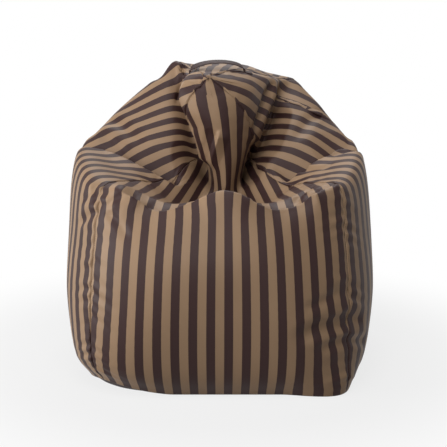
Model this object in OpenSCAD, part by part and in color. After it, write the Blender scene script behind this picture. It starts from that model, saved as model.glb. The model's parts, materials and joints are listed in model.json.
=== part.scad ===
// Bean bag chair: a striped cover of four long panels sewn edge to edge round a
// base panel, a bead-filled liner inside it, a zip low on the back and a carry
// handle on the crown. Millimetres, front towards -Y, standing on Z = 0.

/* [Bag] */
// Widest width of the stuffed cover, side to side
bag_w = 938; // [880:2:1060]
// Greatest depth of the stuffed cover, front to back
bag_d = 930; // [850:2:1020]
// Height of the rim that the arms and the seat's front lip follow
rim_h = 600; // [520:5:680]
// Height at which the sides are almost at full width
belly_h = 258; // [240:2:280]
// Corner radius of the cover at that height
belly_r = 330; // [290:5:330]
// Height of the crown, where the four panels meet behind the seat
crown_h = 935; // [860:5:1010]

/* [Foot] */
// Width of the base panel
base_w = 788; // [740:2:860]
// Depth of the base panel
base_d = 762; // [700:2:820]
// Corner radius of the base panel
base_r = 180; // [120:5:220]
// Height over which the cover slopes in to the base panel
slope_h = 84; // [78:2:110]
// Corner radius of the cover at that height
slope_r = 230; // [200:5:240]

/* [Cloth] */
// Thickness of the leather that the four panels are cut from
cover_t = 1.2; // [0.9:0.1:1.6]
// Thickness of the base panel
base_t = 1.6; // [1.2:0.1:2.4]
// Thickness of the liner cloth
liner_t = 0.5; // [0.4:0.1:0.8]
// Gap between the cover and the liner, and between the liner and the beads
ease = 0.5; // [0.4:0.1:0.8]

/* [Cover zip] */
// Length of the zip's chain
zip_len = 370; // [280:10:380]
// Width of one zip tape
tape_w = 12; // [9:0.5:13]
// Thickness of the zip tape
tape_t = 0.7; // [0.5:0.1:1]
// Width of one row of teeth
teeth_w = 2.8; // [2.2:0.1:3.5]
// Height of the teeth above the tape
teeth_h = 1.8; // [1.4:0.1:2.4]

/* [Slider and pull] */
// Length of the slider
slider_l = 13; // [10:0.5:16]
// Thickness of the slider's plates and flanges
plate_t = 1; // [0.8:0.1:1.4]
// Length of the pull tab, from its pin to its tip
pull_l = 24; // [18:1:32]
// Width of the pull tab
pull_w = 7.5; // [6:0.5:9]
// Thickness of the pull tab
pull_t = 1.4; // [1.2:0.1:1.8]
// Radius of the pull's pin
pin_r = 0.75; // [0.6:0.05:0.9]

/* [Liner zip] */
// Length of the liner's zip
liner_zip_len = 300; // [200:10:380]
// Width of one tape of the liner's zip
liner_tape_w = 9; // [7:0.5:12]
// Width of one row of teeth of the liner's zip
liner_teeth_w = 1.8; // [1.5:0.1:2.2]
// Height of the teeth of the liner's zip
liner_teeth_h = 1.2; // [1:0.1:1.5]
// Length of the locking slider
lock_l = 9; // [7:0.5:12]

/* [Handle] */
// Width of the handle strap
strap_w = 24; // [18:1:28]
// Thickness of the handle strap
strap_t = 3; // [2:0.25:4]
// Rise of the strap's arch above its two pivots
arch_h = 31; // [26:1:38]
// Length of the sewn tab at each end of the strap
tab_l = 26; // [20:1:32]
// Thickness of the sewn tabs
tab_t = 2.2; // [1.6:0.1:3]

/* [Hidden] */

run_gap = 0.3;       // clearance of everything that slides
pin_gap = 0.05;      // radial clearance of the pull's pin
teeth_gap = 1.2;     // slot between the two rows of teeth, where the slider's post runs
cols = 12;           // facets across one panel
steps = 3;           // facets between two rings
arc = 48;            // facets of a full circle
stop_l = 4;          // length of a zip stop
stop_over = 0.8;     // how far a stop stands over the teeth
post_l = 2;          // length of the slider's dividing post
tape_tail = 14;      // tape beyond each end of the chain
liner_tape_t = 0.5;
lock_plate_t = 0.8;
bail_w = 2.4;        // thickness of the slider's bail
bail_wall = 1;       // metal round the bail's bore
arm_w = 1.2;         // thickness of the pull's two arms
arm_wall = 0.8;      // metal round the pull's pin
knuckle_r = 4;       // half width of the strap at its pivots
pad_gap = 0.4;       // clearance of the sewn pads from the cover
tape_gap = 0.1;      // clearance of the zip tapes from the cover
taper_h = 9;         // height over which the strap reaches its full width

// The stuffed shape is a stack of closed rings, from the foot seam to the crown.
// The two rings over the foot are rounded rectangles: [width %, depth %, corner radius, height].
low_rings = [
    [93.5, 93, slope_r, slope_h],
    [99.5, 99.5, belly_r, belly_h]];

// The rings above hold 16 points, four to a panel, each panel starting at its seam:
// front, right, back, left. A point is [half width %, half depth %, height], where
// height 0 to 100 runs from the floor to the rim, and 100 to 200 from rim to crown.
high_rings = [
    // below the arms
    [[-75, -77, 73], [-40, -95, 73], [0, -99, 73], [40, -95, 73],
     [75, -77, 73], [95, -41, 73], [100, 0, 73], [95, 41, 73],
     [75, 77, 73], [40, 96, 73], [0, 100, 73], [-40, 96, 73],
     [-75, 77, 73], [-95, 41, 73], [-100, 0, 73], [-95, -41, 73]],
    // crest of the lip, the arms and the shoulders
    [[-74, -60, 100], [-34, -80, 92], [0, -81, 98], [36, -80, 93],
     [74, -60, 99], [91, -24, 110], [95, 8, 114], [89, 43, 112],
     [71, 70, 109], [38, 91, 106], [0, 96, 103], [-38, 91, 106],
     [-71, 70, 109], [-90, 43, 112], [-96, 8, 115], [-91, -24, 111]],
    // slope into the seat, and the sides of the backrest
    [[-53, -32, 99], [-30, -58, 91], [0, -62, 92], [30, -58, 91],
     [56, -32, 98], [75, -3, 115], [86, 19, 126], [81, 47, 130],
     [63, 70, 134], [34, 86, 136], [0, 90, 136], [-34, 86, 136],
     [-63, 70, 136], [-80, 47, 133], [-84, 19, 130], [-72, -2, 115]],
    // seat
    [[-39, -13, 95], [-23, -30, 84], [0, -30, 80], [23, -30, 84],
     [42, -13, 93], [61, 10, 122], [74, 37, 142], [71, 56, 149],
     [55, 72, 157], [29, 81, 164], [0, 84, 166], [-28, 81, 164],
     [-52, 72, 160], [-64, 57, 157], [-67, 39, 151], [-56, 12, 126]],
    // inner edges of the two lobes of the backrest
    [[-22, 6, 103], [-14, -5, 82], [2, -7, 77], [15, -5, 82],
     [27, 6, 101], [45, 30, 140], [59, 54, 168], [55, 64, 177],
     [45, 72, 181], [24, 74, 185], [0, 74, 185], [-21, 74, 185],
     [-35, 70, 183], [-43, 62, 181], [-43, 50, 178], [-33, 28, 146]],
    // bottom of the two creases beside the centre flap
    [[-14, 26, 112], [-6, 6, 91], [4, -5, 88], [12, 6, 91],
     [21, 26, 112], [33, 43, 148], [45, 57, 176], [43, 62, 181],
     [33, 64, 187], [18, 63, 193], [0, 62, 194], [-15, 63, 193],
     [-25, 63, 191], [-30, 60, 191], [-31, 53, 191], [-24, 43, 153]],
    // centre flap
    [[-15, 11, 136], [-7, -2, 118], [3, -8, 115], [13, -2, 118],
     [23, 11, 136], [30, 24, 157], [34, 34, 178], [31, 43, 184],
     [25, 46, 189], [13, 45, 193], [2, 43, 194], [-7, 45, 193],
     [-15, 46, 189], [-20, 41, 186], [-22, 32, 178], [-21, 24, 160]],
    // round the crown
    [[-20, -4, 166], [-13, -10, 160], [-3, -11, 157], [6, -9, 158],
     [17, -2, 166], [21, 8, 178], [20, 17, 186], [16, 22, 190],
     [9, 25, 193], [0, 25, 194], [-8, 24, 194], [-13, 22, 194],
     [-17, 19, 193], [-19, 14, 190], [-22, 9, 184], [-23, 3, 175]]];
crown_at = [-18, -4, 191];

// ---- the stuffed shape ----
function height(p) = p <= 100 ? p / 100 * rim_h : rim_h + (p - 100) / 100 * (crown_h - rim_h);
function place(p) = [p.x / 100 * bag_w / 2, p.y / 100 * bag_d / 2, height(p.z)];
function spline(a, b, c, d, t) =
    0.5 * (2 * b + (c - a) * t + (2 * a - 5 * b + 4 * c - d) * t * t
        + (3 * b - a - 3 * c + d) * t * t * t);

// one side of a rounded rectangle, f = 0..1 from corner middle to corner middle:
// [distance along the side, distance out from the centre]
function side(f, along, out, r) =
    let (quarter = r * PI / 4, straight = 2 * (along - r), s = f * (2 * quarter + straight))
    s < quarter ? [r - along - r * sin(45 - s / r * 180 / PI), out - r + r * cos(45 - s / r * 180 / PI)]
    : s <= quarter + straight ? [r - along + s - quarter, out]
    : let (turn = (s - quarter - straight) / r * 180 / PI)
      [along - r + r * sin(turn), out - r + r * cos(turn)];
function turned(p, q, z) = [[p.x, -p.y, z], [p.y, p.x, z], [-p.x, p.y, z], [-p.y, -p.x, z]][q];
function rounded_ring(w, d, r, z) = [for (q = [0:3], i = [0:cols - 1])
    turned(q % 2 == 0 ? side(i / cols, w / 2, d / 2, r) : side(i / cols, d / 2, w / 2, r), q, z)];
function smooth_ring(points) =
    let (p = [for (q = points) place(q)], n = len(p), k = 4 * cols / n)
    [for (i = [0:n - 1], j = [0:k - 1])
        spline(p[(i + n - 1) % n], p[i], p[(i + 1) % n], p[(i + 2) % n], j / k)];

round = 4 * cols;
rings = concat(
    [rounded_ring(base_w, base_d, base_r, base_t)],
    [for (r = low_rings) rounded_ring(r[0] / 100 * bag_w, r[1] / 100 * bag_d, r[2], r[3])],
    [for (r = high_rings) smooth_ring(r)],
    [[for (i = [0:round - 1]) place(crown_at)]]);
spans = len(rings) - 1;
rows = spans * steps;     // the row with this number is the crown point
function ring(j) = j < 0 ? 2 * rings[0] - rings[1]
    : j > spans ? 2 * rings[spans] - rings[spans - 1] : rings[j];
skin = [for (j = [0:spans - 1], s = [0:steps - 1])
    let (a = ring(j - 1), b = ring(j), c = ring(j + 1), d = ring(j + 2))
    [for (i = [0:round - 1]) spline(a[i], b[i], c[i], d[i], s / steps)]];

function unit(v) = v / norm(v);
function around(i) = (i + round) % round;
facing = [for (j = [0:rows - 1]) [for (i = [0:round - 1])
    unit(cross(skin[j][around(i + 1)] - skin[j][around(i - 1)],
        (j < rows - 1 ? skin[j + 1][i] : place(crown_at)) - skin[max(j - 1, 0)][i]))]];
crown_facing = unit([for (k = [0:2]) [for (n = facing[rows - 1]) n[k]]
    * [for (n = facing[rows - 1]) 1]]);

// a point of the skin moved t inwards; the foot row keeps to the height z0
function inset(j, i, t, z0) =
    let (n = facing[j][around(i)], p = skin[j][around(i)])
    j > 0 ? p - n * t
    : let (out = unit([n.x, n.y])) [p.x - out.x * t, p.y - out.y * t, z0];
function grid(first, last, t, z0) = concat(
    [for (j = [0:rows - 1], i = [first:last]) inset(j, i, t, z0)],
    [place(crown_at) - crown_facing * t]);

// faces of one layer of n columns of points, with the crown point last
function layer(n, base, out, closed) = [for (j = [0:rows - 1], i = [0:closed ? n - 1 : n - 2])
    let (a = base + j * n + i, b = base + j * n + (i + 1) % n, top = base + rows * n)
    each j == rows - 1 ? [out ? [a, top, b] : [a, b, top]]
        : out ? [[a, b + n, b], [a, a + n, b + n]] : [[a, b, b + n], [a, b + n, a + n]]];
function strip(path, half, flip) = [for (k = [0:len(path) - 2])
    let (a = path[k], b = path[k + 1], c = b + half, d = a + half)
    each flip ? [[a, c, b], [a, d, c]] : [[a, b, c], [a, c, d]]];

// one of the four panels: two layers joined along the foot edge and both seams
module panel(q) {
    n = cols + 1;
    crown = rows * n;
    half = crown + 1;
    polyhedron(
        points = concat(grid(q * cols, (q + 1) * cols, 0, base_t),
            grid(q * cols, (q + 1) * cols, cover_t, base_t)),
        faces = concat(layer(n, 0, true, false), layer(n, half, false, false),
            strip([for (i = [0:cols]) i], half, false),
            strip([for (j = [0:rows]) j < rows ? j * n : crown], half, true),
            strip([for (j = [0:rows]) j < rows ? j * n + cols : crown], half, false)));
}
function foot_outline(t) = [for (i = [0:round - 1]) let (p = inset(0, i, t, 0)) [p.x, p.y]];

// ---- levels and depths that the layers inside the cover share ----
liner_in = max(cover_t, run_gap + plate_t) + ease;
beads_in = liner_in + liner_t + ease;
liner_drop = liner_tape_t + liner_teeth_h + run_gap + lock_plate_t + run_gap;
liner_z = base_t + liner_drop;
beads_z = liner_z + run_gap + lock_plate_t + ease;

// ---- zips, drawn with the chain along X and the outside up, tapes on Z = 0 ----
module tape(len, w, t) {
    translate([-len / 2, teeth_gap / 2, 0]) cube([len, w, t]);
}
module teeth(len, w, t, h) {
    translate([-len / 2, teeth_gap / 2, t]) cube([len, w, h]);
}
module stops(len, w, t, h) {
    for (side = [-1, 1])
        translate([side * (len + stop_l) / 2 - stop_l / 2, -teeth_gap / 2 - w, t])
            cube([stop_l, 2 * w + teeth_gap, h + stop_over]);
}
module slider(l, w, t, h, plate) {
    half = teeth_gap / 2 + w + run_gap;
    post = teeth_gap - 2 * run_gap;
    translate([-l / 2, -half + run_gap, -run_gap - plate]) cube([l, 2 * (half - run_gap), plate]);
    translate([-l / 2, -half - plate, t + h + run_gap]) cube([l, 2 * (half + plate), plate]);
    for (side = [0, 1]) mirror([0, side, 0])
        translate([-l / 2, half, t + run_gap]) cube([l, plate, h + plate]);
    translate([-l / 2, -post / 2, -run_gap - plate]) cube([post_l, post, t + h + 2 * run_gap + 2 * plate]);
}
module zip_slit(len, w, depth) {
    half = teeth_gap / 2 + w + run_gap;
    translate([-len / 2, -half, -2 * depth]) cube([len, 2 * half, 3 * depth]);
}

// the cover zip lies on the flat facets of the back panel between rows 1 and 2
zip_col = 2 * cols + cols / 2;
zip_low = skin[1][zip_col];
zip_high = skin[2][zip_col];
zip_up = unit(zip_high - zip_low);
zip_out = [0, zip_up.z, -zip_up.y];
// how far the facets at the zip's ends stand out past its middle
bulge = max([for (j = [1, 2], i = [-cols / 4, cols / 4])
    (skin[j][zip_col + i] - skin[j][zip_col]) * zip_out]);
module on_back() {
    translate((zip_low + zip_high) / 2 + zip_out * (bulge + tape_gap))
        rotate([atan2(zip_up.z, -zip_up.y), 0, 180]) children();
}
// the liner zip lies under the liner's base
module under_liner() {
    translate([0, 0, liner_z]) rotate([180, 0, 0]) children();
}
module other_side() { mirror([0, 1, 0]) children(); }

chain = zip_len - 2 * stop_l;
closed_x = -chain / 2 + slider_l / 2 + run_gap;
zip_travel = chain - slider_l - 2 * run_gap;
liner_chain = liner_zip_len - 2 * stop_l;
lock_x = -liner_chain / 2 + lock_l / 2 + run_gap;
lock_travel = liner_chain - lock_l - 2 * run_gap;
bail_r = pin_r + pin_gap + bail_wall;
arm_r = pin_r + arm_wall;
pin_z = tape_t + teeth_h + 2 * run_gap + plate_t + max(arm_r, pull_t / 2);

// ---- handle: its two pivots stand over two points of the crown ----
seat_row = rows - steps;
left_seat = skin[seat_row][3 * cols + cols / 4];
right_seat = skin[seat_row][cols + 3 * cols / 4];
left_out = facing[seat_row][3 * cols + cols / 4];
right_out = facing[seat_row][cols + 3 * cols / 4];
pivot_up = pad_gap + tab_t + knuckle_r + run_gap;
left_pivot = left_seat + left_out * pivot_up;
right_pivot = right_seat + right_out * pivot_up;
pivot_line = unit(right_pivot - left_pivot);
arch_half = norm(right_pivot - left_pivot) / 2 - run_gap;

// local X along `along` as far as it can be, local Z along `up`
module seated(at, along, up) {
    x = unit(along - (along * up) * up);
    y = cross(up, x);
    multmatrix([[x.x, y.x, up.x, at.x], [x.y, y.y, up.y, at.y], [x.z, y.z, up.z, at.z]]) children();
}
pivots_up = unit([0, 0, 1] - pivot_line.z * pivot_line);
module on_pivots(at) { seated(at, pivot_line, pivots_up) children(); }
// a sewn pad that lies on the cover at `at`, and the ear that the strap swings beside
module handle_tab(at, out, inward) {
    lean = inward * out;
    back = run_gap + max(0, -pivot_up * lean) / sqrt(1 - lean * lean);
    ear_x = inward * pivot_line > 0 ? -strap_t : 0;
    seated(at, inward, out)
        translate([-back - tab_l, -strap_w / 2, pad_gap]) cube([tab_l, strap_w, tab_t]);
    drop = (pivot_up - pad_gap - tab_t / 2) / (out * pivots_up);
    on_pivots(at + out * pivot_up) translate([ear_x, 0, 0]) {
        rotate([0, 90, 0]) cylinder(r = knuckle_r, h = strap_t, $fn = arc);
        translate([0, -knuckle_r, -drop]) cube([strap_t, 2 * knuckle_r, drop]);
    }
}

// ---- the pieces ----
module front_panel() { color([0.56, 0.46, 0.37]) panel(0); }
module right_panel() { color([0.50, 0.41, 0.32]) panel(1); }
module back_panel() {
    color([0.53, 0.43, 0.34]) difference() {
        panel(2);
        on_back() zip_slit(zip_len, teeth_w, cover_t);
    }
}
module left_panel() { color([0.62, 0.52, 0.42]) panel(3); }
module base_panel() {
    color([0.22, 0.17, 0.16]) linear_extrude(base_t) polygon(foot_outline(0));
}

module liner_body() {
    half = rows * round + 1;
    foot = [for (i = [0:round]) i % round];
    color([0.90, 0.89, 0.86]) polyhedron(
        points = concat(grid(0, round - 1, liner_in, liner_z + liner_t),
            grid(0, round - 1, liner_in + liner_t, liner_z + liner_t)),
        faces = concat(layer(round, 0, true, true), layer(round, half, false, true),
            strip(foot, half, false)));
}
module liner_base() {
    color([0.86, 0.85, 0.82]) difference() {
        translate([0, 0, liner_z]) linear_extrude(liner_t) polygon(foot_outline(liner_in));
        under_liner() zip_slit(liner_zip_len, liner_teeth_w, liner_t);
    }
}
module liner_tape_front() {
    color([0.80, 0.80, 0.80]) under_liner() tape(liner_zip_len, liner_tape_w, liner_tape_t);
}
module liner_tape_rear() {
    color([0.80, 0.80, 0.80]) under_liner() other_side() tape(liner_zip_len, liner_tape_w, liner_tape_t);
}
module liner_teeth_front() {
    color([0.72, 0.72, 0.72]) under_liner() teeth(liner_chain, liner_teeth_w, liner_tape_t, liner_teeth_h);
}
module liner_teeth_rear() {
    color([0.72, 0.72, 0.72]) under_liner() other_side()
        teeth(liner_chain, liner_teeth_w, liner_tape_t, liner_teeth_h);
}
module liner_stops() {
    color([0.72, 0.72, 0.72]) under_liner() stops(liner_chain, liner_teeth_w, liner_tape_t, liner_teeth_h);
}
module liner_slider() {
    color([0.60, 0.60, 0.62]) under_liner() translate([lock_x, 0, 0])
        slider(lock_l, liner_teeth_w, liner_tape_t, liner_teeth_h, lock_plate_t);
}
// the loose beads, as the one solid that they fill
module bead_fill() {
    color([0.97, 0.97, 0.95]) polyhedron(
        points = grid(0, round - 1, beads_in, beads_z),
        faces = concat(layer(round, 0, true, true), [[for (i = [0:round - 1]) i]]));
}

module zip_tape_upper() {
    color([0.20, 0.16, 0.15]) on_back() tape(zip_len + 2 * tape_tail, tape_w, tape_t);
}
module zip_tape_lower() {
    color([0.20, 0.16, 0.15]) on_back() other_side() tape(zip_len + 2 * tape_tail, tape_w, tape_t);
}
module zip_teeth_upper() { color([0.16, 0.13, 0.12]) on_back() teeth(chain, teeth_w, tape_t, teeth_h); }
module zip_teeth_lower() {
    color([0.16, 0.13, 0.12]) on_back() other_side() teeth(chain, teeth_w, tape_t, teeth_h);
}
module zip_stops() { color([0.16, 0.13, 0.12]) on_back() stops(chain, teeth_w, tape_t, teeth_h); }
module zip_slider() {
    color([0.45, 0.42, 0.38]) on_back() translate([closed_x, 0, 0]) {
        slider(slider_l, teeth_w, tape_t, teeth_h, plate_t);
        difference() {
            union() {
                translate([0, bail_w / 2, pin_z]) rotate([90, 0, 0])
                    cylinder(r = bail_r, h = bail_w, $fn = arc);
                translate([-bail_r, -bail_w / 2, tape_t + teeth_h + run_gap])
                    cube([2 * bail_r, bail_w, pin_z - tape_t - teeth_h - run_gap]);
            }
            translate([0, bail_w, pin_z]) rotate([90, 0, 0])
                cylinder(r = pin_r + pin_gap, h = 2 * bail_w, $fn = arc);
        }
    }
}
module zip_pull() {
    arm_in = bail_w / 2 + run_gap;
    fork = bail_r + run_gap;
    color([0.45, 0.42, 0.38]) on_back() translate([closed_x, 0, pin_z]) {
        rotate([90, 0, 0]) translate([0, 0, -arm_in - arm_w / 2])
            cylinder(r = pin_r, h = 2 * arm_in + arm_w, $fn = arc);
        for (y = [-arm_in - arm_w, arm_in]) {
            translate([0, y + arm_w, 0]) rotate([90, 0, 0]) cylinder(r = arm_r, h = arm_w, $fn = arc);
            translate([-pull_t / 2, y, 0]) cube([pull_t, arm_w, fork]);
        }
        difference() {
            union() {
                translate([-pull_t / 2, -pull_w / 2, fork])
                    cube([pull_t, pull_w, pull_l - pull_w / 2 - fork]);
                translate([-pull_t / 2, 0, pull_l - pull_w / 2]) rotate([0, 90, 0])
                    cylinder(r = pull_w / 2, h = pull_t, $fn = arc);
            }
            translate([-pull_t, 0, pull_l - pull_w / 2]) rotate([0, 90, 0])
                cylinder(r = pull_w / 4, h = 2 * pull_t, $fn = arc);
        }
    }
}

module handle_tab_left() { color([0.25, 0.19, 0.17]) handle_tab(left_seat, left_out, pivot_line); }
module handle_tab_right() { color([0.25, 0.19, 0.17]) handle_tab(right_seat, right_out, -pivot_line); }
module handle_loop() {
    function arch(a, h) = [for (t = [0:9:180]) [a * cos(t), h * sin(t)]];
    outer = arch(arch_half, arch_h);
    inner = arch(arch_half - strap_t, arch_h - strap_t);
    color([0.25, 0.19, 0.17]) on_pivots((left_pivot + right_pivot) / 2) intersection() {
        translate([0, strap_w / 2, 0]) rotate([90, 0, 0]) linear_extrude(strap_w)
            polygon(concat([[arch_half, -knuckle_r]], outer, [[-arch_half, -knuckle_r]],
                [[strap_t - arch_half, -knuckle_r]],
                [for (k = [len(inner) - 1:-1:0]) inner[k]], [[arch_half - strap_t, -knuckle_r]]));
        union() {
            translate([-arch_half, 0, 0]) rotate([0, 90, 0])
                cylinder(r = knuckle_r, h = 2 * arch_half, $fn = arc);
            translate([-arch_half, 0, 0]) rotate([90, 0, 90]) linear_extrude(2 * arch_half)
                polygon([[-knuckle_r, 0], [knuckle_r, 0], [strap_w / 2, taper_h],
                    [strap_w / 2, arch_h], [-strap_w / 2, arch_h], [-strap_w / 2, taper_h]]);
        }
    }
}

front_panel();
right_panel();
back_panel();
left_panel();
base_panel();
liner_body();
liner_base();
liner_tape_front();
liner_tape_rear();
liner_teeth_front();
liner_teeth_rear();
liner_stops();
liner_slider();
bead_fill();
zip_tape_upper();
zip_tape_lower();
zip_teeth_upper();
zip_teeth_lower();
zip_stops();
zip_slider();
zip_pull();
handle_tab_left();
handle_tab_right();
handle_loop();
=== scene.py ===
"""A bean bag chair: a striped leather cover of four long panels over a bead-filled liner.

The script is laid out as an add-on. Each piece or group of like pieces has one operator, and
main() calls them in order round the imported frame. Metres, front towards -Y, floor at Z = 0.
"""

import contextlib
import functools
import json
import math

import bmesh
import bpy
import numpy as np
from bpy.props import (
    FloatProperty,
    FloatVectorProperty,
    PointerProperty,
)
from mathutils import Matrix, Vector
from mathutils.bvhtree import BVHTree


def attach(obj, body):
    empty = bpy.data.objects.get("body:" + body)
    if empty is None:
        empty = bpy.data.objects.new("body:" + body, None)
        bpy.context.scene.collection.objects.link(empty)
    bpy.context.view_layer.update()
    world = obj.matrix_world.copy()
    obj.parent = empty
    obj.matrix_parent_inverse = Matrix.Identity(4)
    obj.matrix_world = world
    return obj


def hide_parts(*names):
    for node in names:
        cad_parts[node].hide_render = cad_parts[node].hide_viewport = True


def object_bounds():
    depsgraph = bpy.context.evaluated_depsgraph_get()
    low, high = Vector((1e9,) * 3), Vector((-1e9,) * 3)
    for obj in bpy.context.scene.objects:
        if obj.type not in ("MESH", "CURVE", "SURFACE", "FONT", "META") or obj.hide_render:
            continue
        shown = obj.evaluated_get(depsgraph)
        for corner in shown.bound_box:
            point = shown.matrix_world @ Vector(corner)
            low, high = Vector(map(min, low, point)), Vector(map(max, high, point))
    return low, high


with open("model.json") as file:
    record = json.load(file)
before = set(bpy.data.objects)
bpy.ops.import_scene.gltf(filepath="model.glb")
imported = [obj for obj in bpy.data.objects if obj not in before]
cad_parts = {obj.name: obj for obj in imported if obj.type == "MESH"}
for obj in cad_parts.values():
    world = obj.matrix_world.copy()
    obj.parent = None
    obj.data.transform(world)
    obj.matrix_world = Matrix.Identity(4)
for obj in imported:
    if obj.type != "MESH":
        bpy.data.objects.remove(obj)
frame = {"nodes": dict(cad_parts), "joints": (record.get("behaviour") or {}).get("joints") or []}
CAD_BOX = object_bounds()

bl_info = {
    "name": "Bean bag chair",
    "version": (1, 0, 0),
    "blender": (4, 5, 0),
    "location": "View3D > Sidebar > Bean bag",
    "description": "Dresses the packed chair in its sewn cover, handle, zips and filling",
    "category": "Add Mesh",
}

PANELS = ("front_panel", "right_panel", "back_panel", "left_panel")

# The stuffed form is a stack of rings from the foot seam to the crown. The lowest three are
# rounded rectangles: (half width, half depth, corner radius, height) as shares of the chair's
# half width, half depth, half width and of the rim's height.
LOW_RINGS = (
    (0.84, 0.82, 0.37, 0.0),
    (0.935, 0.93, 0.48, 0.14),
    (0.995, 0.995, 0.68, 0.43),
)
# The rings above have 16 points, four to a panel from its left seam: front, right, back, left.
# A point is half width %, half depth %, and height: 0 to 100 floor to rim, 100 to 200 to the crown.
HIGH_RINGS = (
    # below the arms
    ((-75, -77, 73), (-40, -95, 73), (0, -99, 73), (40, -95, 73),
     (75, -77, 73), (95, -41, 73), (100, 0, 73), (95, 41, 73),
     (75, 77, 73), (40, 96, 73), (0, 100, 73), (-40, 96, 73),
     (-75, 77, 73), (-95, 41, 73), (-100, 0, 73), (-95, -41, 73)),
    # crest of the lip, the arms and the shoulders
    ((-74, -60, 100), (-34, -80, 92), (0, -81, 98), (36, -80, 93),
     (74, -60, 99), (91, -24, 110), (95, 8, 114), (89, 43, 112),
     (71, 70, 109), (38, 91, 106), (0, 96, 103), (-38, 91, 106),
     (-71, 70, 109), (-90, 43, 112), (-96, 8, 115), (-91, -24, 111)),
    # slope into the seat, and the sides of the backrest
    ((-53, -32, 99), (-30, -58, 91), (0, -62, 92), (30, -58, 91),
     (56, -32, 98), (75, -3, 115), (86, 19, 126), (81, 47, 130),
     (63, 70, 134), (34, 86, 136), (0, 90, 136), (-34, 86, 136),
     (-63, 70, 136), (-80, 47, 133), (-84, 19, 130), (-72, -2, 115)),
    # seat
    ((-39, -13, 95), (-23, -30, 84), (0, -30, 80), (23, -30, 84),
     (42, -13, 93), (61, 10, 122), (74, 37, 142), (71, 56, 149),
     (55, 72, 157), (29, 81, 164), (0, 84, 166), (-28, 81, 164),
     (-52, 72, 160), (-64, 57, 157), (-67, 39, 151), (-56, 12, 126)),
    # inner edges of the two lobes of the backrest
    ((-22, 6, 103), (-14, -5, 82), (2, -7, 77), (15, -5, 82),
     (27, 6, 101), (45, 30, 140), (59, 54, 168), (55, 64, 177),
     (45, 72, 181), (24, 74, 185), (0, 74, 185), (-21, 74, 185),
     (-35, 70, 183), (-43, 62, 181), (-43, 50, 178), (-33, 28, 146)),
    # bottom of the two creases beside the centre flap
    ((-14, 26, 112), (-6, 6, 91), (4, -5, 88), (12, 6, 91),
     (21, 26, 112), (33, 43, 148), (45, 57, 176), (43, 62, 181),
     (33, 64, 187), (18, 63, 193), (0, 62, 194), (-15, 63, 193),
     (-25, 63, 191), (-30, 60, 191), (-31, 53, 191), (-24, 43, 153)),
    # centre flap
    ((-15, 11, 136), (-7, -2, 118), (3, -8, 115), (13, -2, 118),
     (23, 11, 136), (30, 24, 157), (34, 34, 178), (31, 43, 184),
     (25, 46, 189), (13, 45, 193), (2, 43, 194), (-7, 45, 193),
     (-15, 46, 189), (-20, 41, 186), (-22, 32, 178), (-21, 24, 160)),
    # round the crown
    ((-20, -4, 166), (-13, -10, 160), (-3, -11, 157), (6, -9, 158),
     (17, -2, 166), (21, 8, 178), (20, 17, 186), (16, 22, 190),
     (9, 25, 193), (0, 25, 194), (-8, 24, 194), (-13, 22, 194),
     (-17, 19, 193), (-19, 14, 190), (-22, 9, 184), (-23, 3, 175)),
)
CROWN = (-8.5, -4, 189)
# Length along a panel, from its hem, at which each ring lies before the cloth settles
RING_LENGTHS = (0, 0.11, 0.29, 0.47, 0.62, 0.74, 0.88, 1.02, 1.11, 1.20, 1.32, 1.42)

# Lines that the stuffed form is drawn to: (reach, sharpness, points). Each line's points are
# places that the cloth passes through, and the form follows them out to the reach.
DRAWN = (
    # edge of the lip
    (0.10, 1.6, ((-0.28, -0.35, 0.607), (-0.225, -0.37, 0.575), (-0.175, -0.383, 0.549),
                 (-0.16, -0.386, 0.546), (-0.14, -0.388, 0.552), (-0.09, -0.394, 0.570),
                 (-0.04, -0.398, 0.588), (0.0, -0.40, 0.601), (0.015, -0.40, 0.604),
                 (0.032, -0.40, 0.600), (0.07, -0.396, 0.585), (0.11, -0.391, 0.566),
                 (0.14, -0.387, 0.551), (0.153, -0.385, 0.548), (0.17, -0.383, 0.551),
                 (0.235, -0.367, 0.570), (0.296, -0.345, 0.592), (0.338, -0.32, 0.607))),
)
# Strokes on the settled cover. A grab moves what is near a place: (reach, place, move).
GRABS = (
    # foot of the front-left seam, and of the front-right one
    (0.20, (-0.32, -0.32, 0.0), (0.0, 0.01, 0.026)),
    (0.14, (0.31, -0.33, 0.0), (0.03, -0.04, 0.0)),
    # the ridge of the back, from the left lobe to the right one
    (0.05, (-0.20, 0.272, 0.878), (0.0, 0.0, -0.010)),
    (0.07, (-0.135, 0.275, 0.908), (0.0, 0.0, 0.015)),
    (0.12, (0.02, 0.28, 0.917), (0.0, 0.0, -0.002)),
    (0.13, (0.17, 0.32, 0.893), (0.0, 0.0, -0.010)),
    (0.09, (0.285, 0.27, 0.83), (-0.006, 0.0, -0.005)),
    # under the left end of the handle
    (0.036, (-0.070, 0.068, 0.913), (0.0, 0.0, -0.010)),
)
# Lines on the cloth, through places given as (panels round from the front-left seam, length from
# the hem): the lip, and the pleat in the centre flap
LIP = ((0.07, 0.62), (0.13, 0.61), (0.20, 0.60), (0.29, 0.585), (0.38, 0.59), (0.45, 0.60),
       (0.52, 0.605), (0.58, 0.605), (0.64, 0.595), (0.70, 0.59), (0.77, 0.60), (0.82, 0.61),
       (0.86, 0.62), (0.90, 0.63), (0.95, 0.65))
PLEAT = ((0.54, 1.23), (0.46, 1.18), (0.39, 1.13), (0.34, 1.08), (0.31, 1.03), (0.30, 0.98))
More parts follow.
